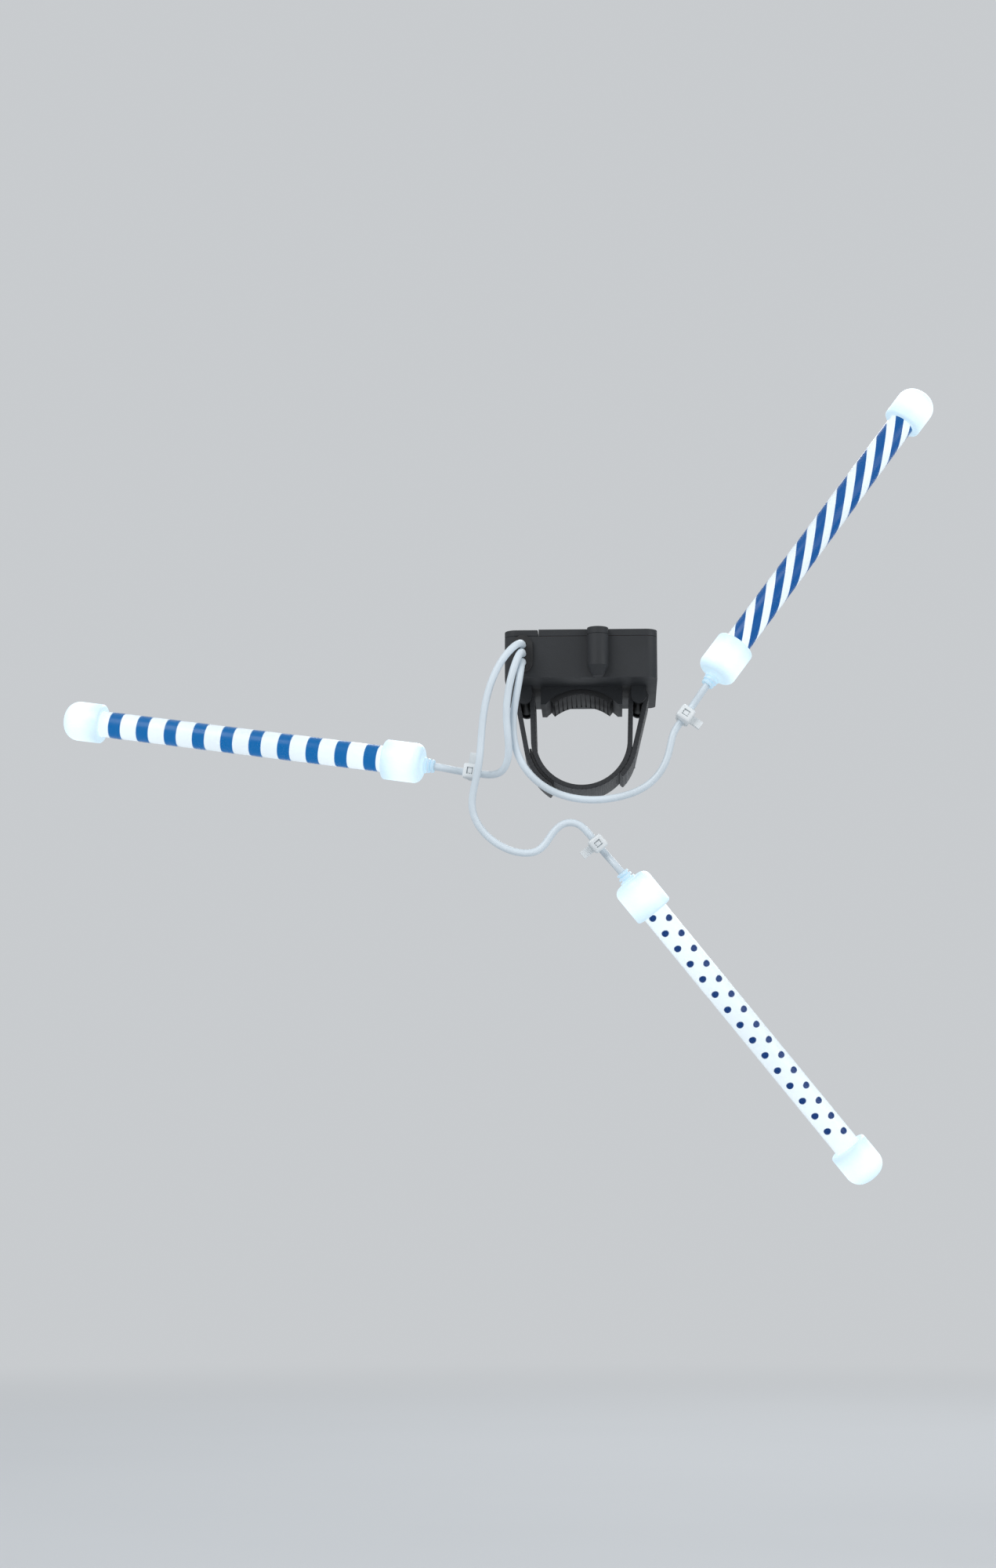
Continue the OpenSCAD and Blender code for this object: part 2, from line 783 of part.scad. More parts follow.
module lid_screw() {
    color("silver")
        translate([cells_x, boss_y, top_z - screw_head_h])
        difference() {
            union() {
                cylinder(h = screw_head_h, d = screw_head_d);
                translate([0, 0, -screw_len]) cylinder(h = screw_len + eps, d = screw_d);
            }
            for (a = [0, 90])
                translate([0, 0, screw_head_h])
                    rotate(a)
                    cube([screw_cross.x, screw_cross.y, 2 * screw_cross_depth], center = true);
        }
}

module screw_insert() {
    color("goldenrod")
        translate([cells_x, boss_y, rim_z - insert_len])
        difference() {
            cylinder(h = insert_len, d = insert_d);
            translate([0, 0, -eps]) cylinder(h = 2 * insert_len, d = screw_d + 2 * thread_gap);
        }
}

// Cells lie side by side, and the middle one the other way round
module cell(k) {
    flip = k == 1 ? -1 : 1;
    body_len = cell_len - cell_nub_h;
    color("slategray")
        translate([cells_x0 + cell_gap / 2 + (k + 0.5) * cell_pitch, 0, cell_z])
        rotate([flip * -90, 0, 0])
        translate([0, 0, bay_len / 2 - plate_t - cell_len]) {
            rotate_extrude()
                difference() {
                    square([cell_d / 2, body_len]);
                    translate([cell_d / 2 - cell_round, body_len - cell_round]) corner_cut(cell_round);
                    translate([cell_d / 2 - cell_round, cell_round]) mirror([0, 1]) corner_cut(cell_round);
                }
            translate([0, 0, body_len - eps]) cylinder(h = cell_nub_h + eps, d = cell_nub_d);
        }
}

module contact_plate(first, count, end) {
    w = plate_w + (count - 1) * cell_pitch;
    translate([
        cells_x0 + cell_gap / 2 + (first + count / 2) * cell_pitch - w / 2,
        end * (bay_len - plate_t) / 2 - plate_t / 2,
        cell_z - plate_h / 2
    ])
        cube([w, plate_t, plate_h]);
}

module contact_plates() {
    color("silver") {
        contact_plate(0, 2, 1);
        contact_plate(2, 1, 1);
        contact_plate(0, 1, -1);
        contact_plate(1, 2, -1);
    }
}

// A cone of wire that presses on the flat end of a cell
function spring_points() =
    let (steps = spring_turns * spring_steps, r = spring_wire / 2)
    [for (k = [0 : steps])
        let (
            f = k / steps,
            ring_r = (spring_base_d * (1 - f) + spring_tip_d * f) / 2 - r,
            a = 360 * spring_turns * f
        )
        [ring_r * cos(a), ring_r * sin(a), r + (spring_len - 2 * r) * f]];

function least_gap(p, apart, d) =
    min([for (i = [0 : len(p) - 1 - apart], j = [i + apart : len(p) - 1]) norm(p[i] - p[j])]) - d;

module contact_springs() {
    p = spring_points();
    echo(contact_spring_least_gap = least_gap(p, spring_steps - 1, spring_wire));
    color("silver")
        for (k = [0 : 2])
            translate([cells_x0 + cell_gap / 2 + (k + 0.5) * cell_pitch, 0, cell_z])
                rotate([(k == 1 ? 1 : -1) * 90, 0, 0])
                translate([0, 0, -bay_len / 2 + plate_t])
                swept_tube(p, spring_wire / 2, spring_sides, [1, 0, 0]);
}

// Circuit board, switch and button
module circuit_board() {
    w = board_bay - 2 * board_gap;
    color("seagreen")
        translate([board_x - w / 2, -board_len / 2, board_z])
        cube([w, board_len, board_t]);
}

module board_parts() {
    color("black")
        translate([board_x, 0, switch_z]) {
            translate([-chip.x / 2, chip_y, 0]) cube(chip);
            for (k = [0, 1])
                translate([-resistor_l / 2, resistor_y - k * resistor_pitch, resistor_d / 2])
                    rotate([0, 90, 0])
                    cylinder(h = resistor_l, d = resistor_d);
        }
}

module switch_body() {
    well = plunger_seat + button_travel + well_room;
    color("black")
        translate([board_x, 0, switch_z])
        difference() {
            translate([-switch_side / 2, -switch_side / 2, 0]) cube([switch_side, switch_side, switch_h]);
            translate([0, 0, switch_h - well]) cylinder(h = switch_h, r = plunger_r + well_gap);
        }
}

module switch_plunger() {
    color("ivory")
        translate([board_x, 0, plunger_top - plunger_rise - plunger_seat])
        cylinder(h = plunger_rise + plunger_seat, r = plunger_r);
}

module push_button() {
    seat = rim_z - fit;
    rise = top_z - seat_gap + button_rise - seat;
    color("darkorange")
        translate([board_x, 0, 0]) {
            translate([0, 0, plunger_top])
                cylinder(h = seat - flange_h - plunger_top + eps, r = plunger_r + stem_rim);
            translate([0, 0, seat - flange_h]) cylinder(h = flange_h, r = flange_r);
            translate([0, 0, seat - eps])
                rotate_extrude()
                difference() {
                    square([button_r, rise]);
                    translate([button_r - button_round, rise - button_round]) corner_cut(button_round);
                }
        }
}

module deck_cover() {
    collar_r = button_r + button_gap;
    color("dimgray")
        translate([0, 0, rim_z])
        difference() {
            union() {
                linear_extrude(lid_t)
                    difference() {
                        rounded_plan();
                        translate([deck_edge_x, -pack_len]) square([pack_w, 2 * pack_len]);
                    }
                translate([board_x, 0, 0]) cylinder(h = lid_t + collar_h, r = collar_r + collar_w);
            }
            translate([board_x, 0, -lid_t]) cylinder(h = 3 * lid_t + collar_h, r = collar_r);
        }
}

module lead_grommet() {
    depth = grommet_lip + wall + grommet_lip_in;
    color("black")
        translate([board_x, near_y, grommet_z])
        difference() {
            union() {
                translate([0, -grommet_lip, 0]) grommet_slab(grommet_rim, grommet_lip);
                translate([0, -eps, 0]) grommet_slab(0, wall + 2 * eps);
                translate([0, wall, 0]) grommet_slab(grommet_lip_in, grommet_lip_in);
            }
            for (k = [-1 : 1])
                translate([0, -depth, k * grommet_pitch])
                    rotate([-90, 0, 0])
                    cylinder(h = 3 * depth, r = lead_r + fit);
        }
}

// Hub pad and strap
module hub_arc(mid, t, from, span) {
    rotate(from) rotate_extrude(angle = span) translate([mid - t / 2, -strap_w / 2]) square([t, strap_w]);
}

function arc_points(c, r, from, to) =
    [for (k = [0 : strap_steps]) let (a = from + (to - from) * k / strap_steps) c + r * [cos(a), sin(a)]];

function strap_path(over_mid, over_angle, over_arc) =
    concat(
        arc_points([0, 0], strap_mid, run_angle - strap_lap, run_angle),
        arc_points([bar_x, bar_z], loop_mid, run_angle + 180, over_angle),
        arc_points([0, 0], over_mid, over_angle, over_angle - over_arc)
    );

function side_of(p, d) = [for (i = [0 : len(p) - 1]) let (t = direction(p, i)) p[i] + d * [-t.y, t.x]];

// One end of the strap: up from the hub, over its bar and back down on the strap's outside
module strap_end(over_mid, over_angle, over_arc) {
    p = strap_path(over_mid, over_angle, over_arc);
    half = (strap_t - ply_gap) / 2;
    back = side_of(p, -half);
    linear_extrude(strap_w - ply_gap, center = true)
        polygon(concat(side_of(p, half), [for (i = [1 : len(p)]) back[len(p) - i]]));
}

module hub_strap() {
    color("darkslategray")
        across_hub() {
            hub_arc(strap_mid, strap_t, 180 - run_angle, 180 + 2 * run_angle);
            strap_end(sewn_mid, sewn_angle, sewn_arc);
            mirror([1, 0, 0]) strap_end(hook_mid, hook_angle, hook_arc);
        }
}

module hook_patch() {
    color("black")
        across_hub()
        mirror([1, 0, 0])
        hub_arc(strap_mid + (strap_t + hook_t) / 2, hook_t - ply_gap, hook_angle - hook_arc, hook_arc);
}

module hub_pad() {
    color("black") across_hub() hub_arc(hub_r + pad_t / 2, pad_t, 90 - pad_arc / 2, pad_arc);
}

module lid_seal() {
    color("indianred") translate([0, 0, rim_z]) linear_extrude(seat_gap + seal_groove) seal_ring(0);
}

for (i = [0 : len(LIGHTS) - 1]) {
    on_spoke(i) clear_tube();
    on_spoke(i) printed_sleeve();
    on_spoke(i) inner_cap();
    on_spoke(i) outer_cap();
    on_spoke(i) diode();
    on_spoke(i) far_diode();
    on_spoke(i) tube_wires();
    lead(i);
    on_spoke(i) lead_tie();
}
pack_housing();
battery_lid();
lid_seal();
hinge_pin();
lid_screw();
screw_insert();
cell(0);  // cell_left
cell(1);  // cell_middle
cell(2);  // cell_right
contact_plates();
contact_springs();
circuit_board();
board_parts();
switch_body();
switch_plunger();
deck_cover();
push_button();
lead_grommet();
hub_pad();
hub_strap();
hook_patch();
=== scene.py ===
"""Looks of the spoke light set: three lit tubes with printed sleeves, their leads and ties, and the pack.

Metres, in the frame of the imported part: origin at the hub's centre, +Y along the axle, +Z up.
Sizes and places that are named in capitals are in millimetres, and MM makes metres of them.
"""
import json
import math

import bpy
from mathutils import Matrix, Vector

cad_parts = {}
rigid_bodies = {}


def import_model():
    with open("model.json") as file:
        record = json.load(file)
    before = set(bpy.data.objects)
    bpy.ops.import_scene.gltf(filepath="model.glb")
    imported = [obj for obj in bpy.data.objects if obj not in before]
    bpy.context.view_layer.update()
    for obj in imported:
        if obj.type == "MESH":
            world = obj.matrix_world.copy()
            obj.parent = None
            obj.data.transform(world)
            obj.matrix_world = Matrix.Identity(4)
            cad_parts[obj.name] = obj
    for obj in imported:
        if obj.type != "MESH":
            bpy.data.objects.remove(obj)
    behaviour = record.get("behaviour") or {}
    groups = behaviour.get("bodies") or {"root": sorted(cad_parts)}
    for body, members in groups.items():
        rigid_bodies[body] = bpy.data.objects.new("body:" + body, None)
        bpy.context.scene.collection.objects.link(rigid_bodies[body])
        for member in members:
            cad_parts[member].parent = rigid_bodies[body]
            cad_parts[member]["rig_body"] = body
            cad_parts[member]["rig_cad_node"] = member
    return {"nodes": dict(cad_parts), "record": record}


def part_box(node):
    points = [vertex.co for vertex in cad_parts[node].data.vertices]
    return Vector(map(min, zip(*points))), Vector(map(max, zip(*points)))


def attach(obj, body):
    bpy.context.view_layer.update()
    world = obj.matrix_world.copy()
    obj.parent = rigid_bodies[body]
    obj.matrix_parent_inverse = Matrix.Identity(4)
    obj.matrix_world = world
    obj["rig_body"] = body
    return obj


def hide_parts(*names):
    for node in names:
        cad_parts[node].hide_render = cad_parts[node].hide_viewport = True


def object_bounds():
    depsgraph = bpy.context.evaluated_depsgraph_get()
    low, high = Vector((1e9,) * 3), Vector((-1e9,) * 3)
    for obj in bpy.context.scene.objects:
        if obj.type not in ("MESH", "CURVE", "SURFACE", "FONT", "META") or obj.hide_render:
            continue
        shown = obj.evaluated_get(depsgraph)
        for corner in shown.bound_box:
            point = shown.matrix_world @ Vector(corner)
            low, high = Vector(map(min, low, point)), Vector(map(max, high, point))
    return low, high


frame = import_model()
cad_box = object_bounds()
nodes = frame["nodes"]
mounts = {mount["name"]: mount for mount in frame["record"]["mounts"]}
scene = bpy.context.scene

MM = 0.001
LIGHTS = ("band", "stripe", "dot")

# Sizes of a light in its own frame: Z outwards from its inner end, Y towards its spoke
LIGHT_LEN = 114
CAP_LEN = 12
CAP_EDGE = 0.22
SPOKE_Y = 7.5
HELD_MIDDLE = 48.275
TUBE_R = 4
TUBE_WALL = 0.95
TUBE_FROM_END = 5
TUBE_RIM = 0.15
SLEEVE_R = 3.15

# Sizes of a lead and its strain relief, in the same frame
LEAD_Y = 5.4
LEAD_D = 2.2
LEAD_RUN_IN = 4
LEAD_EASE = 0.5
LEAD_SEAT = 2
RELIEF_Y = 2
RELIEF_LEN = 3

# Sizes of a cable tie, in the same frame
TIE_Z = -14.2
TIE_REACH = 2.4
TIE_W = 2.5
TIE_T = 1
TIE_BORE = 1.15
TIE_PLAY = 0.05
TIE_EDGE = 0.18
TIE_TAIL_END = 5.8
TIE_TOOTH = 0.55
TIE_HEAD = (4.6, 3.4, 4.4)
TIE_HEAD_FRONT = 1.05
TIE_HEAD_EDGE = 0.7
WINDOW_RIM = 0.55
WINDOW_DEPTH = 0.7
PAWL_RIM = 0.35
PAWL_HEIGHT = 0.45
MOUTH_RIM = 0.4
MOUTH_DEPTH = 0.3

# Sizes of the pack
BOARD_X = -17.55
NEAR_Y = -26.05
PACK_WALL = 1.8
HOUSING_EDGE = 0.4
COVER_EDGE = 0.3
GROMMET_Z = 23.45
GROMMET_PITCH = 2.7
GROMMET_LIP = 1.2
GROMMET_LIP_IN = 0.6
GROMMET_EDGE = 0.3
CELLS = (("cell_left", 1), ("cell_middle", -1), ("cell_right", 1))
CELL_NUB = 1.5
CELL_FOOT = 0.5
CELL_GREEN = 13
TRACK_PITCH = 1.3
TRACK_HALF = 0.25
SPRING_LEN = 3.2
SPRING_WIRE = 0.6
SPRING_BASE_D = 8
SPRING_TIP_D = 3.6
SPRING_TURNS = 3
SPRING_BASE_FLAT = 0.5
SPRING_TIP_FLAT = 0.3

# Sizes of the strap and the pad on the hub
HUB_R = 14
STRAP_W = 22
STRAP_T = 1.6
STRAP_PLAY = 0.1
STRAP_EDGE = 0.35
STRAP_THREAD = 0.7
HOOK_T = 0.8
HOOK_ARC = 46
SEWN_ARC = 30
BAR_X = 17.5
BAR_Z = 13.1
BAR_R = 1.5
BAR_FIT = 0.05
STITCH_STEP = 2.2
STITCH_LEN = 1.5
STITCH_R = 0.22
STITCH_MARGIN = 2
PAD_T = 1.5
PAD_ARC = 76
PAD_STEP = 2
PAD_EDGE = 0.12
GROOVE_EVERY = 3
GROOVE_RIM = 0.08
GROOVE_DEPTH = 0.5
WELD = 0.002


def light_frame(light):
    """The matrix that takes a light's own frame to the wheel's, worked out from its spoke mount."""
    mount = mounts[light + "_spoke"]
    along = Vector(mount["axis"]).normalized()
    axle = Vector((0, 1, 0))
    behind = (axle - axle.dot(along) * along).normalized()
    side = behind.cross(along)
    inner_end = Vector(mount["pos_m"]) - SPOKE_Y * MM * behind - HELD_MIDDLE * MM * along
    turn = Matrix((side, behind, along)).transposed()
    return Matrix.Translation(inner_end) @ turn.to_4x4()


LIGHT_FRAMES = {light: light_frame(light) for light in LIGHTS}

# Camera, at the photograph's place and aimed at the part
PHOTO_W = 1271
PHOTO_H = 2000
SENSOR = 36
CAMERA_AT = Vector((9.5, -863.24, -150.51)) * MM
FRAME_FILLED = 0.88
AIM_ROUNDS = 4


def box_corners(node):
    low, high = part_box(node)
    return [Vector((x, y, z)) for x in (low.x, high.x) for y in (low.y, high.y) for z in (low.z, high.z)]


def seen_from_camera(points, aim):
    """The view of a level camera that looks at aim, and how far across and up in it the points reach."""
    forward = (aim - CAMERA_AT).normalized()
    right = forward.cross(Vector((0, 0, 1))).normalized()
    up = right.cross(forward)
    rays = [point - CAMERA_AT for point in points]
    across = [ray.dot(right) / ray.dot(forward) for ray in rays]
    height = [ray.dot(up) / ray.dot(forward) for ray in rays]
    return forward, right, up, (min(across), max(across)), (min(height), max(height))


def set_camera():
    """Turns the camera to the middle of the lights and the pack, which fill the frame's width."""
    caps = [light + end for light in LIGHTS for end in ("_inner_cap", "_outer_cap")]
    points = [corner for node in caps + ["pack_housing"] for corner in box_corners(node)]
    aim = sum(cad_box, Vector()) / 2
    for _ in range(AIM_ROUNDS):
        forward, right, up, across, height = seen_from_camera(points, aim)
        distance = (aim - CAMERA_AT).length
        aim += distance * (right * sum(across) / 2 + up * sum(height) / 2)
    bpy.ops.object.camera_add(location=CAMERA_AT, rotation=forward.to_track_quat("-Z", "Y").to_euler())
    camera = bpy.context.object
    camera.name = "camera"
    camera.data.sensor_width = SENSOR
    camera.data.lens = FRAME_FILLED * SENSOR * PHOTO_W / PHOTO_H / (across[1] - across[0])
    scene.camera = camera


# Leads: the points of their routes, from the grommet round the hub to each cap
LEAD_HOLES = {"band": 0, "stripe": -1, "dot": 1}
ROUTES = {
    "band": [
        (-17.6, -30.5, 23.4), (-18, -33.3, 22.7), (-18.8, -35.3, 20.6), (-20, -36.2, 17.2),
        (-21.4, -36.4, 11.5), (-22.2, -36.2, 5.5), (-22, -35.6, -0.5), (-21.4, -34, -5.6),
        (-21.7, -32, -9.8), (-23.2, -30.2, -13),
    ],
    "stripe": [
        (-17.6, -30.2, 20.6), (-17.7, -32.9, 19.4), (-17.9, -34.7, 17), (-18.3, -35.3, 13.9),
        (-19.2, -35, 9), (-20.4, -33.4, 2.6), (-20.2, -31.8, -4.8), (-17.4, -31, -12.2),
        (-11.5, -30.5, -18), (-4, -30, -21.2), (4, -29.8, -22), (12, -29.7, -21),
        (19.4, -29.5, -18.2), (24.4, -29.2, -13), (26.6, -28.9, -6.6),
    ],
    "dot": [
        (-17.7, -29.8, 26.1), (-18.3, -32.3, 25.7), (-19.8, -34.3, 24.4), (-22, -35.2, 22),
        (-24.8, -35.5, 17.8), (-27.2, -35.4, 12), (-28.8, -35.2, 5.5), (-29.5, -35.1, -1),
        (-29.9, -34.9, -7.5), (-30.6, -34.6, -13.8), (-32.2, -33.8, -19.5), (-32.8, -32.6, -25),
        (-30.4, -31.4, -30.4), (-26, -30.6, -34.6), (-20.5, -30.1, -37.4), (-15, -29.9, -37.9),
        (-11.9, -29.7, -36.4), (-9.9, -29.5, -33.6), (-7.9, -29.3, -30.5), (-5.2, -29.1, -28.4),
        (-1.9, -28.9, -28.3),
    ],
}
TIE_OUT = TIE_Z - TIE_REACH
TIE_IN = TIE_Z + TIE_REACH
BEND = -RELIEF_LEN - TIE_IN
LEAD_TAIL = [
    (0, LEAD_Y, TIE_OUT - LEAD_RUN_IN), (0, LEAD_Y, TIE_OUT), (0, LEAD_Y, TIE_IN),
    (0, LEAD_Y - LEAD_EASE, TIE_IN + BEND / 4), (0, (LEAD_Y + RELIEF_Y) / 2, TIE_IN + BEND / 2),
    (0, RELIEF_Y + LEAD_EASE, TIE_IN + 3 * BEND / 4), (0, RELIEF_Y, -RELIEF_LEN),
    (0, RELIEF_Y, -LEAD_EASE), (0, RELIEF_Y, LEAD_SEAT),
]


def lead_points(light):
    """A lead's route: out of its hole in the grommet, round the hub and along its spoke into the cap."""
    hole_z = GROMMET_Z + LEAD_HOLES[light] * GROMMET_PITCH
    inside = (BOARD_X, NEAR_Y + PACK_WALL + GROMMET_LIP_IN, hole_z)
    outside = (BOARD_X, NEAR_Y - GROMMET_LIP, hole_z)
    free = [Vector(point) * MM for point in [inside, outside] + ROUTES[light]]
    return free + [LIGHT_FRAMES[light] @ (Vector(point) * MM) for point in LEAD_TAIL]


def deselect():
    bpy.ops.object.select_all(action="DESELECT")


def only(piece):
    """Makes a piece the one that is selected and worked on."""
    deselect()
    piece.select_set(True)
    bpy.context.view_layer.objects.active = piece


def round_wire(points, diameter):
    """A smooth round wire or cord through points in metres, as a curve."""
    deselect()
    bpy.ops.curve.primitive_nurbs_path_add()
    wire = bpy.context.object
    spline = wire.data.splines[0]
    spline.points.add(len(points) - len(spline.points))
    for place, point in zip(spline.points, points):
        place.co = (*point, 1)
    spline.order_u = 4
    spline.use_endpoint_u = True
    spline.resolution_u = 8
    wire.data.bevel_depth = diameter / 2 * MM
    wire.data.bevel_resolution = 4
    wire.data.use_fill_caps = True
    return wire


def spring_points(node, nub_end):
    """A cone spring from its contact plate to a cell's flat end, each end of its wire wound flat."""
    low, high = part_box(node)
    flat_end = low.y if nub_end > 0 else high.y
    centre = (low + high) / 2
    per_turn = 14
    base_steps = SPRING_BASE_FLAT * per_turn
    climb_steps = (SPRING_TURNS - SPRING_BASE_FLAT - SPRING_TIP_FLAT) * per_turn
    points = []
    for step in range(SPRING_TURNS * per_turn + 1):
        share = min(1.0, max(0.0, (step - base_steps) / climb_steps))
        radius = (SPRING_BASE_D + share * (SPRING_TIP_D - SPRING_BASE_D) - SPRING_WIRE) / 2 * MM
        rise = ((SPRING_LEN - SPRING_WIRE) * (1 - share) + SPRING_WIRE / 2) * MM
        angle = math.tau * step / per_turn
        across = (radius * math.cos(angle), 0, radius * math.sin(angle))
        points.append(Vector((centre.x, flat_end - nub_end * rise, centre.z)) + Vector(across))
    return points


# Shader nodes
class Shading:
    """A node tree that is being wired in short calls. Colours are given as red, green and blue."""

    def __init__(self, tree):
        self.tree = tree

    def put(self, socket, value):
        if isinstance(value, bpy.types.NodeSocket):
            self.tree.links.new(value, socket)
        elif socket.type == "RGBA":
            socket.default_value = (*value, 1.0)
        else:
            socket.default_value = value

    def node(self, kind, inputs=None, **settings):
        made = self.tree.nodes.new("ShaderNode" + kind)
        for name, value in settings.items():
            setattr(made, name, value)
        for name, value in (inputs or {}).items():
            self.put(made.inputs[name], value)
        return made

    def math(self, operation, *values):
        made = self.node("Math", operation=operation)
        for socket, value in zip(made.inputs, values):
            self.put(socket, value)
        return made.outputs[0]

    def ease(self, value, low, high, at_low=0.0, at_high=1.0):
        """at_low below low, at_high above high and a smooth step between them."""
        spans = {"Value": value, "From Min": low, "From Max": high, "To Min": at_low, "To Max": at_high}
        return self.node("MapRange", spans, interpolation_type="SMOOTHSTEP").outputs[0]

    def mix(self, share, first, second):
        made = self.node("Mix", data_type="RGBA")
        self.put(made.inputs[0], share)
        self.put(made.inputs[6], first)
        self.put(made.inputs[7], second)
        return made.outputs[2]

    def noise(self, vector, scale, detail=3.0):
        return self.node("TexNoise", {"Vector": vector, "Scale": scale, "Detail": detail}).outputs["Fac"]

    def group(self, name, **inputs):
        return self.node("Group", inputs, node_tree=bpy.data.node_groups[name]).outputs

    def axes(self, vector):
        return self.node("SeparateXYZ", {"Vector": vector}).outputs

    def off_centre(self, value, pitch):
        """Distance of a value from the nearest whole number of pitches."""
        steps = self.math("DIVIDE", value, pitch)
        past = self.math("SUBTRACT", steps, self.math("ROUND", steps))
        return self.math("MULTIPLY", self.math("ABSOLUTE", past), pitch)

    def between(self, value, low, high):
        above = self.math("GREATER_THAN", value, low)
        return self.math("MULTIPLY", above, self.math("LESS_THAN", value, high))


class Finish(Shading):
    """A material that is being made: wiring that ends at a principled shader."""

    def __init__(self, name, **constants):
        self.material = bpy.data.materials.new(name)
        self.material.use_nodes = True
        super().__init__(self.material.node_tree)
        self.shader = self.tree.nodes["Principled BSDF"].inputs
        for key, value in constants.items():
            self.put(self.shader[key.replace("_", " ")], value)

    def place(self):
        return self.node("TexCoord").outputs["Object"]

    def surface(self):
        return self.node("TexCoord").outputs["UV"]

    def grain(self, scale):
        return self.group("surface_grain", Vector=self.place(), Scale=scale)

    def colour(self, mask, first, second):
        self.put(self.shader["Base Color"], self.mix(mask, first, second))

    def glow(self, colour):
        self.put(self.shader["Emission Color"], colour)

    def roughness(self, mask, low, high):
        self.put(self.shader["Roughness"], self.ease(mask, 0.0, 1.0, low, high))

    def relief(self, height, strength, depth):
        """A bump from a height between 0 and 1, its depth in millimetres."""
        inputs = {"Height": height, "Strength": strength, "Distance": depth * MM}
        self.put(self.shader["Normal"], self.node("Bump", inputs).outputs[0])


def new_group(name, inputs, outputs):
    """An empty shader group with named sockets: its wiring, its inputs and its outputs."""
    tree = bpy.data.node_groups.new(name, "ShaderNodeTree")
    for key, kind in inputs.items():
        tree.interface.new_socket(key, in_out="INPUT", socket_type="NodeSocket" + kind)
    for key, kind in outputs.items():
        tree.interface.new_socket(key, in_out="OUTPUT", socket_type="NodeSocket" + kind)
    source = tree.nodes.new("NodeGroupInput")
    sink = tree.nodes.new("NodeGroupOutput")
    return Shading(tree), source.outputs, sink.inputs


# Effects that several finishes share
BLOTCH_SCALE = 0.06
INK_BLUR = 0.12
FUZZ_SCALE = 2600.0
FUZZ_HEIGHT = 0.7


def surface_grain():
    """Fine grain of a moulded surface, and the slow blotches of handling on it."""
    wiring, given, result = new_group(
        "surface_grain", {"Vector": "Vector", "Scale": "Float"}, {"Grain": "Float", "Blotch": "Float"}
    )
    slow = wiring.math("MULTIPLY", given["Scale"], BLOTCH_SCALE)
    blotch = wiring.noise(given["Vector"], slow, detail=4.0)
    wiring.put(result["Grain"], wiring.noise(given["Vector"], given["Scale"]))
    wiring.put(result["Blotch"], wiring.ease(blotch, 0.3, 0.7))


def light_place():
    """Where a point lies on a light, in millimetres and turns, from its place in the light's frame."""
    wiring, given, result = new_group(
        "light_place",
        {"Vector": "Vector"},
        {"Along": "Float", "Behind": "Float", "Turn": "Float", "From end": "Float"},
    )
    place = wiring.axes(given["Vector"])
    along = wiring.math("DIVIDE", place["Z"], MM)
    front = wiring.math("MULTIPLY", place["Y"], -1.0)
    angle = wiring.math("ARCTAN2", place["X"], front)
    from_outer_end = wiring.math("SUBTRACT", LIGHT_LEN, along)
    wiring.put(result["Along"], along)
    wiring.put(result["Behind"], wiring.math("DIVIDE", place["Y"], MM))
    wiring.put(result["Turn"], wiring.math("DIVIDE", angle, math.tau))
    wiring.put(result["From end"], wiring.math("MINIMUM", along, from_outer_end))


def printed_edge():
    """Ink inside a distance, with the slightly soft edge of a print on film."""
    wiring, given, result = new_group(
        "printed_edge", {"Distance": "Float", "Reach": "Float"}, {"Ink": "Float"}
    )
    full = wiring.math("SUBTRACT", given["Reach"], INK_BLUR)
    none = wiring.math("ADD", given["Reach"], INK_BLUR)
    wiring.put(result["Ink"], wiring.ease(given["Distance"], full, none, 1.0, 0.0))


def strap_weave():
    """Over-and-under weave of a strap along its UV map: its height, and the shade of its threads."""
    wiring, given, result = new_group(
        "strap_weave", {"UV": "Vector", "Thread": "Float"}, {"Height": "Float", "Shade": "Float"}
    )
    place = wiring.axes(given["UV"])
    half_wave = wiring.math("DIVIDE", math.pi / MM, given["Thread"])
    waves = [wiring.math("SINE", wiring.math("MULTIPLY", place[axis], half_wave)) for axis in ("X", "Y")]
    crossing = wiring.math("MULTIPLY", *waves)
    fuzz = wiring.noise(given["UV"], FUZZ_SCALE, detail=4.0)
    threads = wiring.math("ABSOLUTE", crossing)
    wiring.put(result["Height"], wiring.math("MULTIPLY_ADD", fuzz, FUZZ_HEIGHT, threads))
    wiring.put(result["Shade"], wiring.ease(wiring.math("ADD", crossing, fuzz), -0.4, 1.4))


def shaded(colour, level):
    """A colour made darker or lighter."""
    return [min(1.0, level * value) for value in colour]


def moulded(name, colour, smooth, dull, scale=1500.0, depth=0.05, **constants):
    """A moulded plastic or rubber: blotched colour and gloss over a fine grain."""
    finish = Finish(name, **constants)
    grain = finish.grain(scale)
    finish.colour(grain["Blotch"], shaded(colour, 0.92), shaded(colour, 1.06))
    finish.roughness(grain["Blotch"], smooth, dull)
    finish.relief(grain["Grain"], 0.35, depth)
    return finish.material


def metal(name, colour, smooth, dull):
    """Drawn or plated metal: fine lines along one way and a little tarnish."""
    finish = Finish(name, Metallic=1.0)
    drawn = {"Vector": finish.place(), "Scale": (1.0, 12.0, 1.0)}
    lines = finish.node("Mapping", drawn).outputs[0]
    grain = finish.group("surface_grain", Vector=lines, Scale=2200.0)
    finish.colour(grain["Blotch"], shaded(colour, 0.72), colour)
    finish.put(finish.shader["Roughness"], finish.ease(grain["Grain"], 0.3, 0.7, smooth, dull))
    finish.relief(grain["Grain"], 0.15, 0.02)
    return finish.material


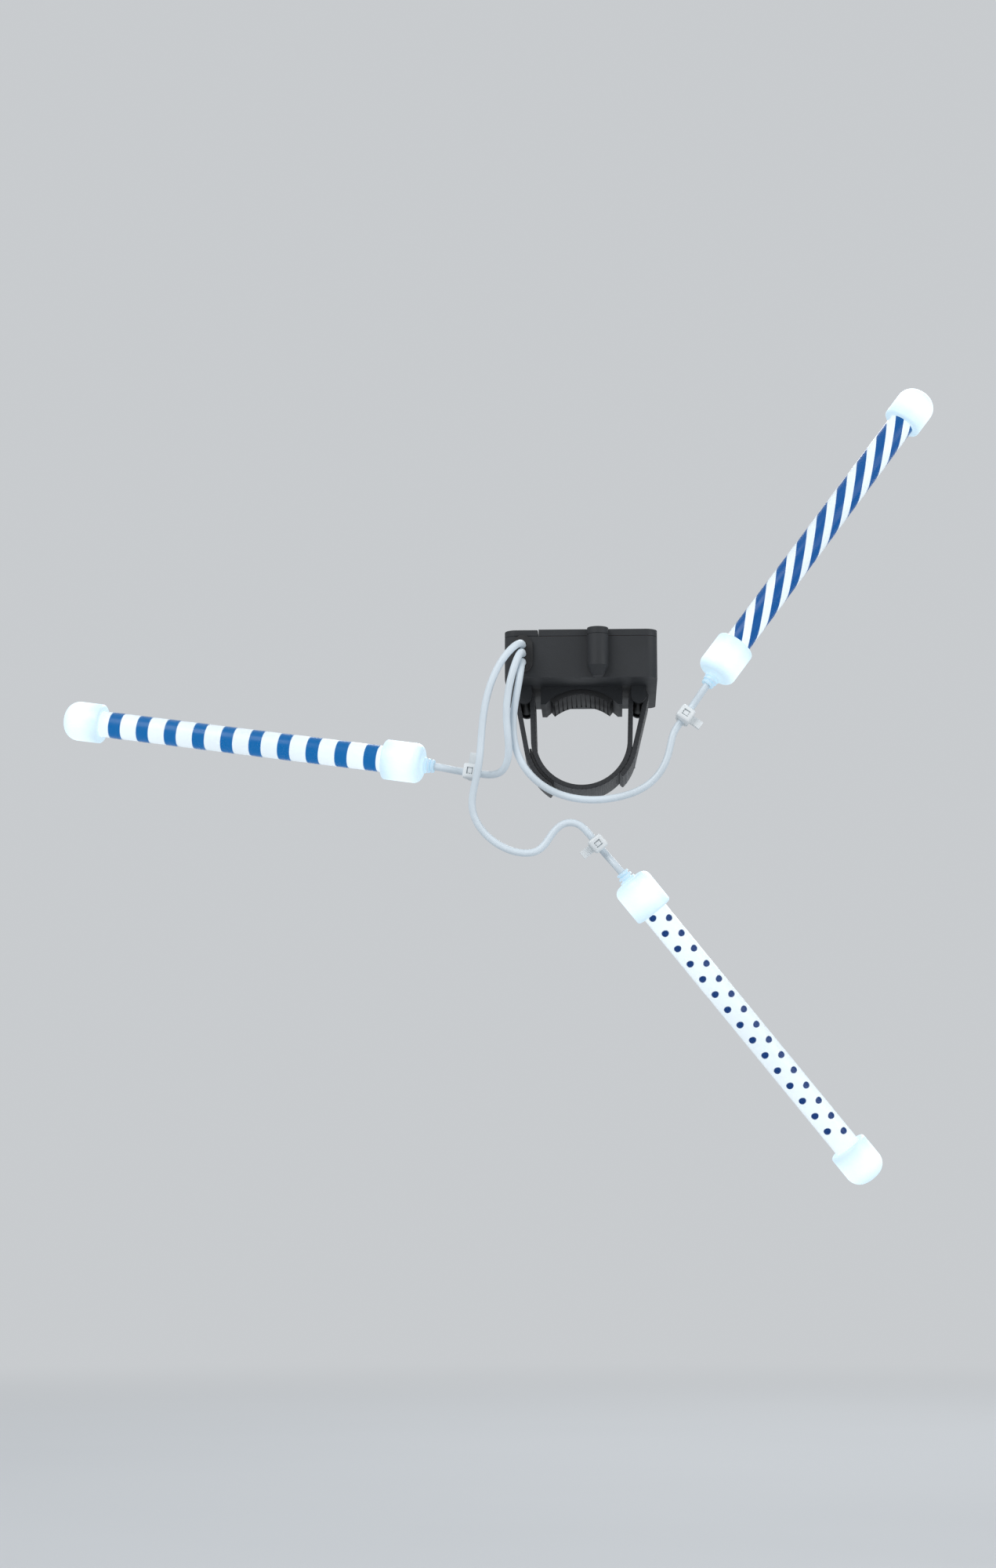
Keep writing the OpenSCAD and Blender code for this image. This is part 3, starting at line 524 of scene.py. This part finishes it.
# Finishes of the lights: the painted glow of film and caps, emission in place of the diodes' light, with
# the places where it fades and its level there
UNLIT = (0.0, 0.0, 0.0)
FILM_GLOW = (0.78, 0.87, 0.92)
FILM_WHITE = (0.3, 0.32, 0.34)
FILM_FADE = (CAP_LEN - 4, LIGHT_LEN / 2, 1.0, 0.88)
CAP_PLASTIC = ((0.34, 0.4, 0.45), (0.4, 0.46, 0.5))
CAP_GLOW = (0.7, 0.85, 0.92)
CAP_GLOW_FADED = (0.0, 0.15, 0.27)
CAP_LIP_FADE = (6, CAP_LEN + 1, 1.0, 0.55)
CAP_TIP_FADE = (-2.5, 4, 0.35, 1.0)
CAP_CLIP_FADE = (2, 8.5, 1.0, 0.3)

# The three prints
INK_UNLIT = (0.004, 0.012, 0.03)
# Painted glow: the emission colour each print's ink glows with, in place of the diodes' light shining
# through it; the ink's own colour is INK_UNLIT
PAINTED_INK_GLOWS = {"band": (0.0, 0.135, 0.41), "stripe": (0.0, 0.09, 0.33), "dot": (0.0, 0.03, 0.16)}
BAND_PITCH = 9.04
BAND_WIDTH = 3.9
BAND_MIDDLE = 56.5
BAND_COUNT = 10
STRIPE_PITCH = 10.96
STRIPE_WIDTH = 5.7
STRIPE_STARTS = 3
STRIPE_SWAY = 0.87
STRIPE_PHASE = 44.9
DOT_STEP = 5.81
DOT_FIRST = 13.0
DOT_ROW_TURN = 36.6 / 360
DOT_COUNT = 15
DOT_R = 1.0
DOT_SQUEEZE = 1.2
QUARTER_TURN = 0.25


def in_light_frame(finish, light):
    """Object coordinates turned into the light's own frame."""
    back = LIGHT_FRAMES[light].inverted()
    turned = {
        "Vector": finish.place(),
        "Location": back.to_translation(),
        "Rotation": back.to_euler("XYZ"),
    }
    return finish.node("Mapping", turned, vector_type="POINT").outputs[0]


def band_ink(film, place):
    """Bands straight across the tube."""
    reach = BAND_COUNT * BAND_PITCH / 2
    from_first = film.math("SUBTRACT", place["Along"], BAND_MIDDLE - reach + BAND_PITCH / 2)
    distance = film.off_centre(from_first, BAND_PITCH)
    ink = film.group("printed_edge", Distance=distance, Reach=BAND_WIDTH / 2)["Ink"]
    inside = film.between(place["Along"], BAND_MIDDLE - reach, BAND_MIDDLE + reach)
    return film.math("MULTIPLY", ink, inside)


def stripe_ink(film, place):
    """Slanted stripes that sway at the tube's sides, so that its front and back show them straight."""
    from_first = film.math("SUBTRACT", place["Along"], STRIPE_PHASE)
    half_turns = film.math("SINE", film.math("MULTIPLY", place["Turn"], 2 * math.tau))
    sway = film.math("MULTIPLY_ADD", half_turns, STRIPE_SWAY, from_first)
    slant = film.math("MULTIPLY_ADD", place["Turn"], STRIPE_STARTS * STRIPE_PITCH, sway)
    distance = film.off_centre(slant, STRIPE_PITCH)
    return film.group("printed_edge", Distance=distance, Reach=STRIPE_WIDTH / 2)["Ink"]


def dot_ink(film, place):
    """Two rows of dots on the front and two on the back, a half step apart."""
    past_side = film.math("SUBTRACT", film.math("ABSOLUTE", place["Turn"]), QUARTER_TURN)
    off_row = film.math("SUBTRACT", film.math("ABSOLUTE", past_side), QUARTER_TURN - DOT_ROW_TURN)
    across = film.math("MULTIPLY", off_row, math.tau * SLEEVE_R / DOT_SQUEEZE)
    left = film.math("LESS_THAN", place["Turn"], 0.0)
    first = film.math("MULTIPLY_ADD", left, DOT_STEP / 2, DOT_FIRST)
    from_first = film.math("SUBTRACT", place["Along"], first)
    along = film.off_centre(from_first, DOT_STEP)
    square = film.math("ADD", film.math("POWER", across, 2.0), film.math("POWER", along, 2.0))
    ink = film.group("printed_edge", Distance=film.math("SQRT", square), Reach=DOT_R)["Ink"]
    inside = film.between(from_first, -DOT_STEP / 2, (DOT_COUNT - 0.5) * DOT_STEP)
    return film.math("MULTIPLY", ink, inside)


PRINTS = {"band": band_ink, "stripe": stripe_ink, "dot": dot_ink}


def printed_film(light):
    """The lit sleeve: white film whose painted glow dims a little away from the diodes, with its printed
    pattern.
    """
    film = Finish(light + "_printed_film", Roughness=0.5, Specular_IOR_Level=0.0, Emission_Strength=1.0)
    place = film.group("light_place", Vector=in_light_frame(film, light))
    ink = PRINTS[light](film, place)
    level = film.ease(place["From end"], *FILM_FADE)
    film.colour(ink, FILM_WHITE, INK_UNLIT)
    film.glow(film.mix(ink, film.mix(level, UNLIT, FILM_GLOW), PAINTED_INK_GLOWS[light]))
    film.relief(film.grain(900.0)["Grain"], 0.1, 0.02)
    return film.material


def frosted_cap(light):
    """The lit cap: frosted plastic whose painted glow is brightest round its diode, dim and bluer on its
    clip and relief.
    """
    cap = Finish(
        light + "_frosted_cap", Emission_Strength=1.0, Subsurface_Weight=0.25, Subsurface_Scale=2 * MM
    )
    place = cap.group("light_place", Vector=in_light_frame(cap, light))
    by_lip = cap.ease(place["From end"], *CAP_LIP_FADE)
    by_tip = cap.ease(place["From end"], *CAP_TIP_FADE)
    by_clip = cap.ease(place["Behind"], *CAP_CLIP_FADE)
    level = cap.math("MULTIPLY", cap.math("MULTIPLY", by_lip, by_tip), by_clip)
    grain = cap.grain(2400.0)
    cap.colour(grain["Blotch"], *CAP_PLASTIC)
    cap.glow(cap.mix(level, CAP_GLOW_FADED, CAP_GLOW))
    cap.roughness(grain["Blotch"], 0.34, 0.5)
    cap.relief(grain["Grain"], 0.25, 0.03)
    return cap.material


def clear_acrylic():
    """Clear tube with a satin gloss, a little duller where it is scuffed."""
    tube = Finish("clear_acrylic", Base_Color=(0.96, 0.985, 1.0), Transmission_Weight=1.0, IOR=1.35)
    tube.roughness(tube.grain(1200.0)["Blotch"], 0.26, 0.34)
    return tube.material


def tie_nylon():
    """Natural nylon, with the ratchet's fine teeth across the band from its UV map."""
    tie = Finish("tie_nylon")
    grain = tie.grain(1800.0)
    tooth = tie.math("FRACT", tie.math("DIVIDE", tie.axes(tie.surface())["X"], TIE_TOOTH * MM))
    tie.colour(grain["Blotch"], (0.74, 0.78, 0.8), (0.86, 0.89, 0.9))
    tie.roughness(grain["Blotch"], 0.36, 0.5)
    tie.relief(tie.math("MULTIPLY_ADD", grain["Grain"], 0.2, tooth), 0.9, 0.16)
    return tie.material


def loop_strap():
    """Woven strap with a fuzzy loop face."""
    strap = Finish("loop_strap", Sheen_Weight=0.3, Sheen_Roughness=0.5)
    weave = strap.group("strap_weave", UV=strap.surface(), Thread=STRAP_THREAD)
    strap.colour(weave["Shade"], (0.008, 0.008, 0.009), (0.05, 0.052, 0.057))
    strap.roughness(weave["Shade"], 0.95, 0.7)
    strap.relief(weave["Height"], 0.8, 0.25)
    return strap.material


def cell_wrap(node, nub_end):
    """A cell's plain printed wrap: grey with a green end, and bare metal at both ends."""
    cell = Finish(node + "_wrap", Roughness=0.3)
    low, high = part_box(node)
    length = high.y - low.y
    nub_y = high.y if nub_end > 0 else low.y
    from_nub = cell.math("ABSOLUTE", cell.math("SUBTRACT", cell.axes(cell.place())["Y"], nub_y))
    wrapped = cell.between(from_nub, CELL_NUB * MM, length - CELL_FOOT * MM)
    bare = cell.math("SUBTRACT", 1.0, wrapped)
    green = cell.math("LESS_THAN", from_nub, CELL_GREEN * MM)
    grain = cell.grain(1600.0)
    print_colour = cell.mix(green, (0.42, 0.43, 0.45), (0.02, 0.24, 0.12))
    metal_colour = cell.mix(grain["Blotch"], (0.5, 0.49, 0.47), (0.68, 0.67, 0.65))
    cell.colour(bare, print_colour, metal_colour)
    cell.put(cell.shader["Metallic"], cell.math("MAXIMUM", bare, 0.35))
    cell.relief(grain["Grain"], 0.1, 0.02)
    return cell.material


def board_laminate():
    """Green solder mask over straight copper tracks."""
    board = Finish("board_laminate", Roughness=0.35)
    across = board.math("DIVIDE", board.axes(board.place())["X"], MM)
    track = board.math("LESS_THAN", board.off_centre(across, TRACK_PITCH), TRACK_HALF)
    height = board.math("ADD", track, board.grain(1800.0)["Grain"])
    board.colour(track, (0.01, 0.12, 0.06), (0.03, 0.24, 0.11))
    board.relief(height, 0.3, 0.03)
    return board.material


for make_group in (surface_grain, light_place, printed_edge, strap_weave):
    make_group()

LEAD_JACKET = moulded("lead_jacket", (0.72, 0.8, 0.86), 0.32, 0.46, scale=900.0, depth=0.02)
PACK_PLASTIC = moulded(
    "pack_plastic", (0.03, 0.032, 0.035), 0.52, 0.6, scale=2000.0, depth=0.12, Specular_IOR_Level=0.3
)
SEAL_RUBBER = moulded("seal_rubber", (0.32, 0.07, 0.05), 0.5, 0.65)
BLACK_RUBBER = moulded("black_rubber", (0.016, 0.016, 0.017), 0.6, 0.8)
BUTTON_RUBBER = moulded("button_rubber", (0.72, 0.2, 0.02), 0.5, 0.65)
LED_EPOXY = moulded("led_epoxy", (0.8, 0.88, 0.92), 0.1, 0.2)
WIRE_SKIN = moulded("wire_insulation", (0.5, 0.03, 0.03), 0.35, 0.5)
BOARD_PLASTIC = moulded("board_plastic", (0.02, 0.02, 0.022), 0.35, 0.5)
SWITCH_WHITE = moulded("switch_white", (0.7, 0.68, 0.62), 0.35, 0.5)
HOOK_FABRIC = moulded("hook_fabric", (0.015, 0.015, 0.016), 0.7, 0.9, scale=2600.0, depth=0.3)
STITCH_THREAD = moulded("stitch_thread", (0.2, 0.205, 0.215), 0.6, 0.8, scale=3000.0)
STEEL = metal("steel", (0.58, 0.58, 0.6), 0.22, 0.4)
NICKEL = metal("nickel_plate", (0.7, 0.66, 0.6), 0.16, 0.32)
BRASS = metal("brass", (0.75, 0.52, 0.2), 0.2, 0.36)
CLEAR_ACRYLIC = clear_acrylic()
TIE_NYLON = tie_nylon()
LOOP_STRAP = loop_strap()


def dress(node, material):
    """Gives a node of the frame its finish."""
    slots = nodes[node].data.materials
    slots.clear()
    slots.append(material)


def finished(piece, name, material, slot, *replaced, body="root"):
    """Names a new piece, gives it its finish and hangs it on its body in place of what it stands for."""
    piece.name = name
    piece.data.name = name
    piece.data.materials.clear()
    piece.data.materials.append(material)
    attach(piece, body)
    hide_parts(*replaced)
    return piece


def applied(piece, kind, **settings):
    """Adds a modifier to a piece and applies it."""
    only(piece)
    modifier = piece.modifiers.new(kind.lower(), kind)
    for key, value in settings.items():
        setattr(modifier, key, value)
    bpy.ops.object.modifier_apply(modifier=modifier.name)


def rounded(piece, edge, segments=3, degrees=50):
    """Rounds the edges that are sharper than an angle."""
    sharp = math.radians(degrees)
    applied(piece, "BEVEL", width=edge * MM, segments=segments, limit_method="ANGLE", angle_limit=sharp)


def smoothed(piece, degrees=35):
    only(piece)
    bpy.ops.object.shade_smooth_by_angle(angle=math.radians(degrees))


def edit_all():
    """Opens the active piece in edit mode with everything selected."""
    bpy.ops.object.mode_set(mode="EDIT")
    bpy.ops.mesh.select_all(action="SELECT")


def pick(piece, kind, wanted):
    """Leaves a piece in edit mode with only its wanted vertices or faces selected."""
    bpy.ops.object.mode_set(mode="EDIT")
    bpy.ops.mesh.select_mode(type=kind)
    bpy.ops.mesh.select_all(action="DESELECT")
    bpy.ops.object.mode_set(mode="OBJECT")
    elements = {"VERT": piece.data.vertices, "FACE": piece.data.polygons}
    for element in elements[kind]:
        element.select = wanted(element)
    bpy.ops.object.mode_set(mode="EDIT")


def moved(offset):
    return {"value": offset}


def joined(pieces):
    """Several pieces as one."""
    deselect()
    for piece in pieces:
        piece.select_set(True)
    bpy.context.view_layer.objects.active = pieces[0]
    bpy.ops.object.join()
    return pieces[0]


def ribbon(path, across, thickness, edge):
    """A strip along a path: an edge drawn out from point to point and thickened, with soft edges."""
    deselect()
    bpy.ops.mesh.primitive_plane_add(size=1)
    strip = bpy.context.object
    pick(strip, "VERT", lambda vertex: vertex.index > 1)
    bpy.ops.mesh.delete(type="VERT")
    bpy.ops.object.mode_set(mode="OBJECT")
    for vertex, side in zip(strip.data.vertices, (-0.5, 0.5)):
        vertex.co = path[0] + side * across
    bpy.ops.object.mode_set(mode="EDIT")
    bpy.ops.mesh.select_mode(type="EDGE")
    bpy.ops.mesh.select_all(action="SELECT")
    for last, point in zip(path, path[1:]):
        bpy.ops.mesh.extrude_edges_move(TRANSFORM_OT_translate=moved(point - last))
    bpy.ops.object.mode_set(mode="OBJECT")
    along = [0.0]
    for last, point in zip(path, path[1:]):
        along.append(along[-1] + (point - last).length)
    cover = strip.data.uv_layers.active or strip.data.uv_layers.new()
    for loop in strip.data.loops:
        step, side = divmod(loop.vertex_index, 2)
        cover.data[loop.index].uv = (along[step], side * across.length)
    applied(strip, "SOLIDIFY", thickness=thickness * MM, offset=0.0, use_even_offset=True)
    edit_all()
    bpy.ops.mesh.normals_make_consistent(inside=False)
    bpy.ops.object.mode_set(mode="OBJECT")
    rounded(strip, edge)
    smoothed(strip)
    return strip


def arc(centre, radius, start, stop, steps):
    """Points of an arc in the plane across the hub, its ends in degrees."""
    middle = Vector((centre[0], 0, centre[1]))
    points = []
    for step in range(steps + 1):
        angle = math.radians(start + (stop - start) * step / steps)
        points.append((middle + radius * Vector((math.cos(angle), 0, math.sin(angle)))) * MM)
    return points


def strap_path():
    """The strap's middle line: sewn end, round its bar, under the hub, over the other bar, hook end."""
    hub_mid = HUB_R + STRAP_T / 2
    loop_mid = BAR_R + BAR_FIT + STRAP_T / 2
    sewn_mid = hub_mid + STRAP_T
    hook_mid = sewn_mid + HOOK_T
    bar_dist = math.hypot(BAR_X, BAR_Z)
    bar_angle = math.degrees(math.atan2(BAR_Z, BAR_X))
    run = bar_angle - math.degrees(math.acos((hub_mid + loop_mid) / bar_dist))
    sewn = bar_angle - math.degrees(math.acos((sewn_mid - loop_mid) / bar_dist))
    hook = bar_angle - math.degrees(math.acos((hook_mid - loop_mid) / bar_dist))
    return (
        arc((0, 0), sewn_mid, sewn - SEWN_ARC, sewn, steps=10)
        + arc((BAR_X, BAR_Z), loop_mid, sewn, run + 180, steps=24)
        + arc((0, 0), hub_mid, run, -180 - run, steps=48)
        + arc((-BAR_X, BAR_Z), loop_mid, -run, 180 - hook, steps=24)
        + arc((0, 0), hook_mid, 180 - hook, 180 - hook + HOOK_ARC, steps=14)
    )


def strap_stitches():
    """Two rows of stitches over the strap's sewn end, each one a short thread that lies on the weave."""
    face = HUB_R + 2 * STRAP_T
    path = strap_path()
    rows = [path[step].normalized() * face * MM for step in (2, 8)]
    count = int((STRAP_W - 2 * STITCH_MARGIN) / STITCH_STEP)
    threads = []
    for row in rows:
        for step in range(count + 1):
            deselect()
            middle = Vector((row.x, (step - count / 2) * STITCH_STEP * MM, row.z))
            bpy.ops.mesh.primitive_uv_sphere_add(
                segments=10, ring_count=8, radius=STITCH_R * MM, location=middle,
                rotation=(math.pi / 2, 0, 0), scale=(1, 1, STITCH_LEN / 2 / STITCH_R),
            )
            bpy.ops.object.transform_apply()
            bpy.ops.object.shade_smooth()
            threads.append(bpy.context.object)
    return joined(threads)


def soft_copy(node, edge):
    """A copy of a node's solid with its sharp edges rounded, as a moulding's are."""
    piece = nodes[node].copy()
    piece.data = nodes[node].data.copy()
    piece.parent = None
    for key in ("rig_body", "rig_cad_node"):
        del piece[key]
    scene.collection.objects.link(piece)
    only(piece)
    bpy.ops.mesh.customdata_custom_splitnormals_clear()
    edit_all()
    bpy.ops.mesh.remove_doubles(threshold=WELD * MM)
    bpy.ops.mesh.dissolve_limited(angle_limit=math.radians(1))
    bpy.ops.object.mode_set(mode="OBJECT")
    rounded(piece, edge, degrees=40)
    smoothed(piece, 40)
    applied(piece, "WEIGHTED_NORMAL", keep_sharp=True)
    return piece


def placed(model, light):
    """A copy of a model of one light's piece, set in that light's place."""
    piece = model.copy()
    piece.data = model.data.copy()
    scene.collection.objects.link(piece)
    piece.data.transform(LIGHT_FRAMES[light])
    return piece


def clear_tube():
    """Thick-walled clear tube that closes on the printed sleeve, with its rims broken."""
    length = LIGHT_LEN - 2 * TUBE_FROM_END
    deselect()
    bpy.ops.mesh.primitive_cylinder_add(
        vertices=72, radius=TUBE_R * MM, depth=length * MM, end_fill_type="NOTHING",
        location=(0, 0, LIGHT_LEN / 2 * MM),
    )
    tube = bpy.context.object
    bpy.ops.object.transform_apply()
    applied(tube, "SOLIDIFY", thickness=TUBE_WALL * MM, offset=-1.0)
    rounded(tube, TUBE_RIM, segments=2)
    smoothed(tube)
    return tube


def tie_path():
    """Middle line of a tie's band: round the lead and the spoke, through the head and out as the tail."""
    mid = TIE_BORE + TIE_T / 2
    corner_steps = 6
    tail_steps = 8
    points = []
    for centre, start in ((LEAD_Y, -90), (SPOKE_Y, 0), (SPOKE_Y, 90), (LEAD_Y, 180)):
        for step in range(corner_steps + 1):
            angle = math.radians(start + 90 * step / corner_steps)
            points.append((mid * math.cos(angle), centre + mid * math.sin(angle)))
    points += [(TIE_TAIL_END * step / tail_steps, LEAD_Y - mid) for step in range(1, tail_steps + 1)]
    return [Vector((x, y, TIE_Z)) * MM for x, y in points]


def tie_head():
    """The head of a cable tie: a window with the pawl in it, and a mouth at each side for the band."""
    deselect()
    middle = (0, (TIE_HEAD_FRONT + TIE_HEAD[1] / 2) * MM, TIE_Z * MM)
    bpy.ops.mesh.primitive_cube_add(size=1, location=middle, scale=[side * MM for side in TIE_HEAD])
    head = bpy.context.object
    bpy.ops.object.transform_apply()
    edit_all()
    bpy.ops.mesh.bevel(offset=TIE_HEAD_EDGE * MM, segments=3, affect="EDGES")
    pick(head, "FACE", lambda face: face.normal.y < -0.99)
    bpy.ops.mesh.inset(thickness=WINDOW_RIM * MM)
    bpy.ops.mesh.extrude_region_move(TRANSFORM_OT_translate=moved((0, WINDOW_DEPTH * MM, 0)))
    bpy.ops.mesh.inset(thickness=PAWL_RIM * MM)
    bpy.ops.mesh.extrude_region_move(TRANSFORM_OT_translate=moved((0, -PAWL_HEIGHT * MM, 0)))
    pick(head, "FACE", lambda face: abs(face.normal.x) > 0.99)
    bpy.ops.mesh.inset(thickness=MOUTH_RIM * MM, use_individual=True)
    bpy.ops.mesh.extrude_faces_move(TRANSFORM_OT_shrink_fatten=moved(-MOUTH_DEPTH * MM))
    bpy.ops.object.mode_set(mode="OBJECT")
    smoothed(head)
    return head


def lead_tie():
    """A cable tie: its toothed band and its plain head."""
    band = ribbon(tie_path(), Vector((0, 0, TIE_W * MM)), TIE_T - TIE_PLAY, TIE_EDGE)
    head = tie_head()
    head.data.uv_layers.active.name = band.data.uv_layers.active.name
    for corner in head.data.uv_layers.active.data:
        corner.uv = (0, 0)
    return joined([band, head])


def hub_pad():
    """The rubber pad on the hub: a strip bent to the barrel, with grooves across its gripping face."""
    start = math.radians(90 - PAD_ARC / 2)
    half = STRAP_W / 2 * MM
    deselect()
    bpy.ops.mesh.primitive_plane_add(size=1)
    pad = bpy.context.object
    for vertex in pad.data.vertices:
        radius = (HUB_R + PAD_T if vertex.co.x > 0 else HUB_R) * MM
        side = half if vertex.co.y > 0 else -half
        vertex.co = (radius * math.cos(start), side, radius * math.sin(start))
    edit_all()
    bpy.ops.mesh.spin(
        steps=PAD_ARC // PAD_STEP, angle=math.radians(PAD_ARC), center=(0, 0, 0), axis=(0, 1, 0)
    )
    bpy.ops.mesh.select_all(action="SELECT")
    bpy.ops.mesh.remove_doubles(threshold=WELD * MM)
    bpy.ops.mesh.normals_make_consistent(inside=False)
    bpy.ops.object.mode_set(mode="OBJECT")

    def is_groove(face):
        outwards = Vector((face.center.x, 0, face.center.z)).normalized()
        turn = math.degrees(math.atan2(outwards.z, outwards.x)) - 90 + PAD_ARC / 2
        return face.normal.dot(outwards) < -0.5 and int(turn / PAD_STEP) % GROOVE_EVERY == 1

    pick(pad, "FACE", is_groove)
    bpy.ops.mesh.inset(thickness=GROOVE_RIM * MM, use_individual=True)
    bpy.ops.mesh.extrude_faces_move(TRANSFORM_OT_shrink_fatten=moved(-GROOVE_DEPTH * MM))
    bpy.ops.object.mode_set(mode="OBJECT")
    rounded(pad, PAD_EDGE, segments=2)
    smoothed(pad)
    return pad


# The stage, in metres: a pale floor and backdrop, and soft lamps
BACKDROP = (0.58, 0.6, 0.62)
WORLD_LIGHT = (0.42, 0.44, 0.46)
FLOOR_TONES = ((0.56, 0.58, 0.6), (0.6, 0.62, 0.64))
FLOOR_Z = -0.254
FLOOR_R = 4.0
FLOOR_FADE = (0.5, 1.6)
LAMP_AIM = Vector((-0.025, -0.01, -0.014))
LAMPS = (
    ("key_lamp", (-0.8, -1.0, 0.9), 11.0, 0.9),
    ("fill_lamp", (1.0, -0.7, 0.3), 5.0, 0.9),
    ("back_lamp", (0.3, 1.0, 0.8), 7.0, 0.8),
)


def pale_floor():
    """A floor that fades into the backdrop's colour away from the part."""
    deselect()
    bpy.ops.mesh.primitive_circle_add(
        vertices=64, radius=FLOOR_R, fill_type="NGON", location=(0, 0, FLOOR_Z)
    )
    floor = bpy.context.object
    floor.name = "floor"
    paint = Finish("pale_floor", Roughness=0.85)
    place = paint.place()
    paint.colour(paint.noise(place, 3.0), *FLOOR_TONES)
    distance = paint.node("VectorMath", {0: place}, operation="LENGTH").outputs["Value"]
    rays = paint.node("LightPath").outputs
    seen = paint.math("MAXIMUM", rays["Is Camera Ray"], rays["Is Transmission Ray"])
    faded = paint.math("MULTIPLY", paint.ease(distance, *FLOOR_FADE), seen)
    near = paint.tree.nodes["Principled BSDF"].outputs[0]
    far = paint.node("Emission", {"Color": BACKDROP, "Strength": 1.0}).outputs[0]
    blend = paint.node("MixShader", {0: faded, 1: near, 2: far}).outputs[0]
    paint.put(paint.tree.nodes["Material Output"].inputs["Surface"], blend)
    floor.data.materials.append(paint.material)


def studio_world():
    """Even light from all round, which the camera, gloss and clear plastic see as the backdrop."""
    world = bpy.data.worlds.new("studio")
    world.use_nodes = True
    scene.world = world
    wiring = Shading(world.node_tree)
    rays = wiring.node("LightPath").outputs
    passed = wiring.math("MAXIMUM", rays["Is Camera Ray"], rays["Is Transmission Ray"])
    seen = wiring.math("MAXIMUM", passed, rays["Is Glossy Ray"])
    background = world.node_tree.nodes["Background"].inputs
    wiring.put(background["Color"], wiring.mix(seen, WORLD_LIGHT, BACKDROP))
    background["Strength"].default_value = 1.0


def soft_lamp(name, place, power, size):
    """A square soft lamp that looks at the part."""
    at = Vector(place)
    turn = (LAMP_AIM - at).to_track_quat("-Z", "Y").to_euler()
    bpy.ops.object.light_add(type="AREA", location=at, rotation=turn)
    lamp = bpy.context.object
    lamp.name = name
    lamp.data.energy = power
    lamp.data.size = size


# The camera and the leads, then the rest of each light
set_camera()
LEADS = {light: round_wire(lead_points(light), LEAD_D) for light in LIGHTS}
TIE_MODEL = lead_tie()
TUBE_MODEL = clear_tube()

for light in LIGHTS:
    lead = finished(LEADS[light], light + "_lead_jacket", LEAD_JACKET, "lead_jacket", light + "_lead")
    tie = placed(TIE_MODEL, light)
    finished(tie, light + "_lead_tie_nylon", TIE_NYLON, "tie_nylon", light + "_lead_tie")
    cap = frosted_cap(light)
    for end in ("_inner_cap", "_outer_cap"):
        node = light + end
        finished(soft_copy(node, CAP_EDGE), node + "_frosted", cap, "frosted_cap", node)
    tube = placed(TUBE_MODEL, light)
    finished(tube, light + "_tube_clear", CLEAR_ACRYLIC, "clear_tube", light + "_tube")
    dress(light + "_sleeve", printed_film(light))
    dress(light + "_inner_led", LED_EPOXY)
    dress(light + "_outer_led", LED_EPOXY)
    dress(light + "_wires", WIRE_SKIN)

for model in (TIE_MODEL, TUBE_MODEL):
    bpy.data.objects.remove(model)

# The pack's mouldings: node, rounding, finish, slot and body
MOULDINGS = (
    ("pack_housing", HOUSING_EDGE, PACK_PLASTIC, "pack_plastic", "root"),
    ("battery_lid", COVER_EDGE, PACK_PLASTIC, "pack_plastic", "lid"),
    ("deck_cover", COVER_EDGE, PACK_PLASTIC, "pack_plastic", "root"),
    ("lead_grommet", GROMMET_EDGE, BLACK_RUBBER, "grommet_rubber", "root"),
)
for node, edge, material, slot, body in MOULDINGS:
    finished(soft_copy(node, edge), node + "_moulded", material, slot, node, body=body)

# The pad, the springs and the strap
finished(hub_pad(), "hub_pad_grooved", BLACK_RUBBER, "pad_rubber", "hub_pad")
springs = joined([round_wire(spring_points(node, nub_end), SPRING_WIRE) for node, nub_end in CELLS])
finished(springs, "contact_springs_wound", NICKEL, "plated_steel", "contact_springs")
strap = ribbon(strap_path(), Vector((0, STRAP_W * MM, 0)), STRAP_T - STRAP_PLAY, STRAP_EDGE)
finished(strap, "hub_strap_woven", LOOP_STRAP, "strap_fabric", "hub_strap")
finished(strap_stitches(), "strap_stitches", STITCH_THREAD, "strap_fabric")

# The pieces that keep their solids
DRESSED = {
    "hinge_pin": STEEL,
    "lid_screw": STEEL,
    "screw_insert": BRASS,
    "contact_plates": NICKEL,
    "lid_seal": SEAL_RUBBER,
    "circuit_board": board_laminate(),
    "board_parts": BOARD_PLASTIC,
    "switch_body": BOARD_PLASTIC,
    "switch_plunger": SWITCH_WHITE,
    "push_button": BUTTON_RUBBER,
    "hook_patch": HOOK_FABRIC,
}
for node, material in DRESSED.items():
    dress(node, material)
for node, nub_end in CELLS:
    dress(node, cell_wrap(node, nub_end))

pale_floor()
studio_world()
for lamp in LAMPS:
    soft_lamp(*lamp)

scene.view_settings.view_transform = "Standard"
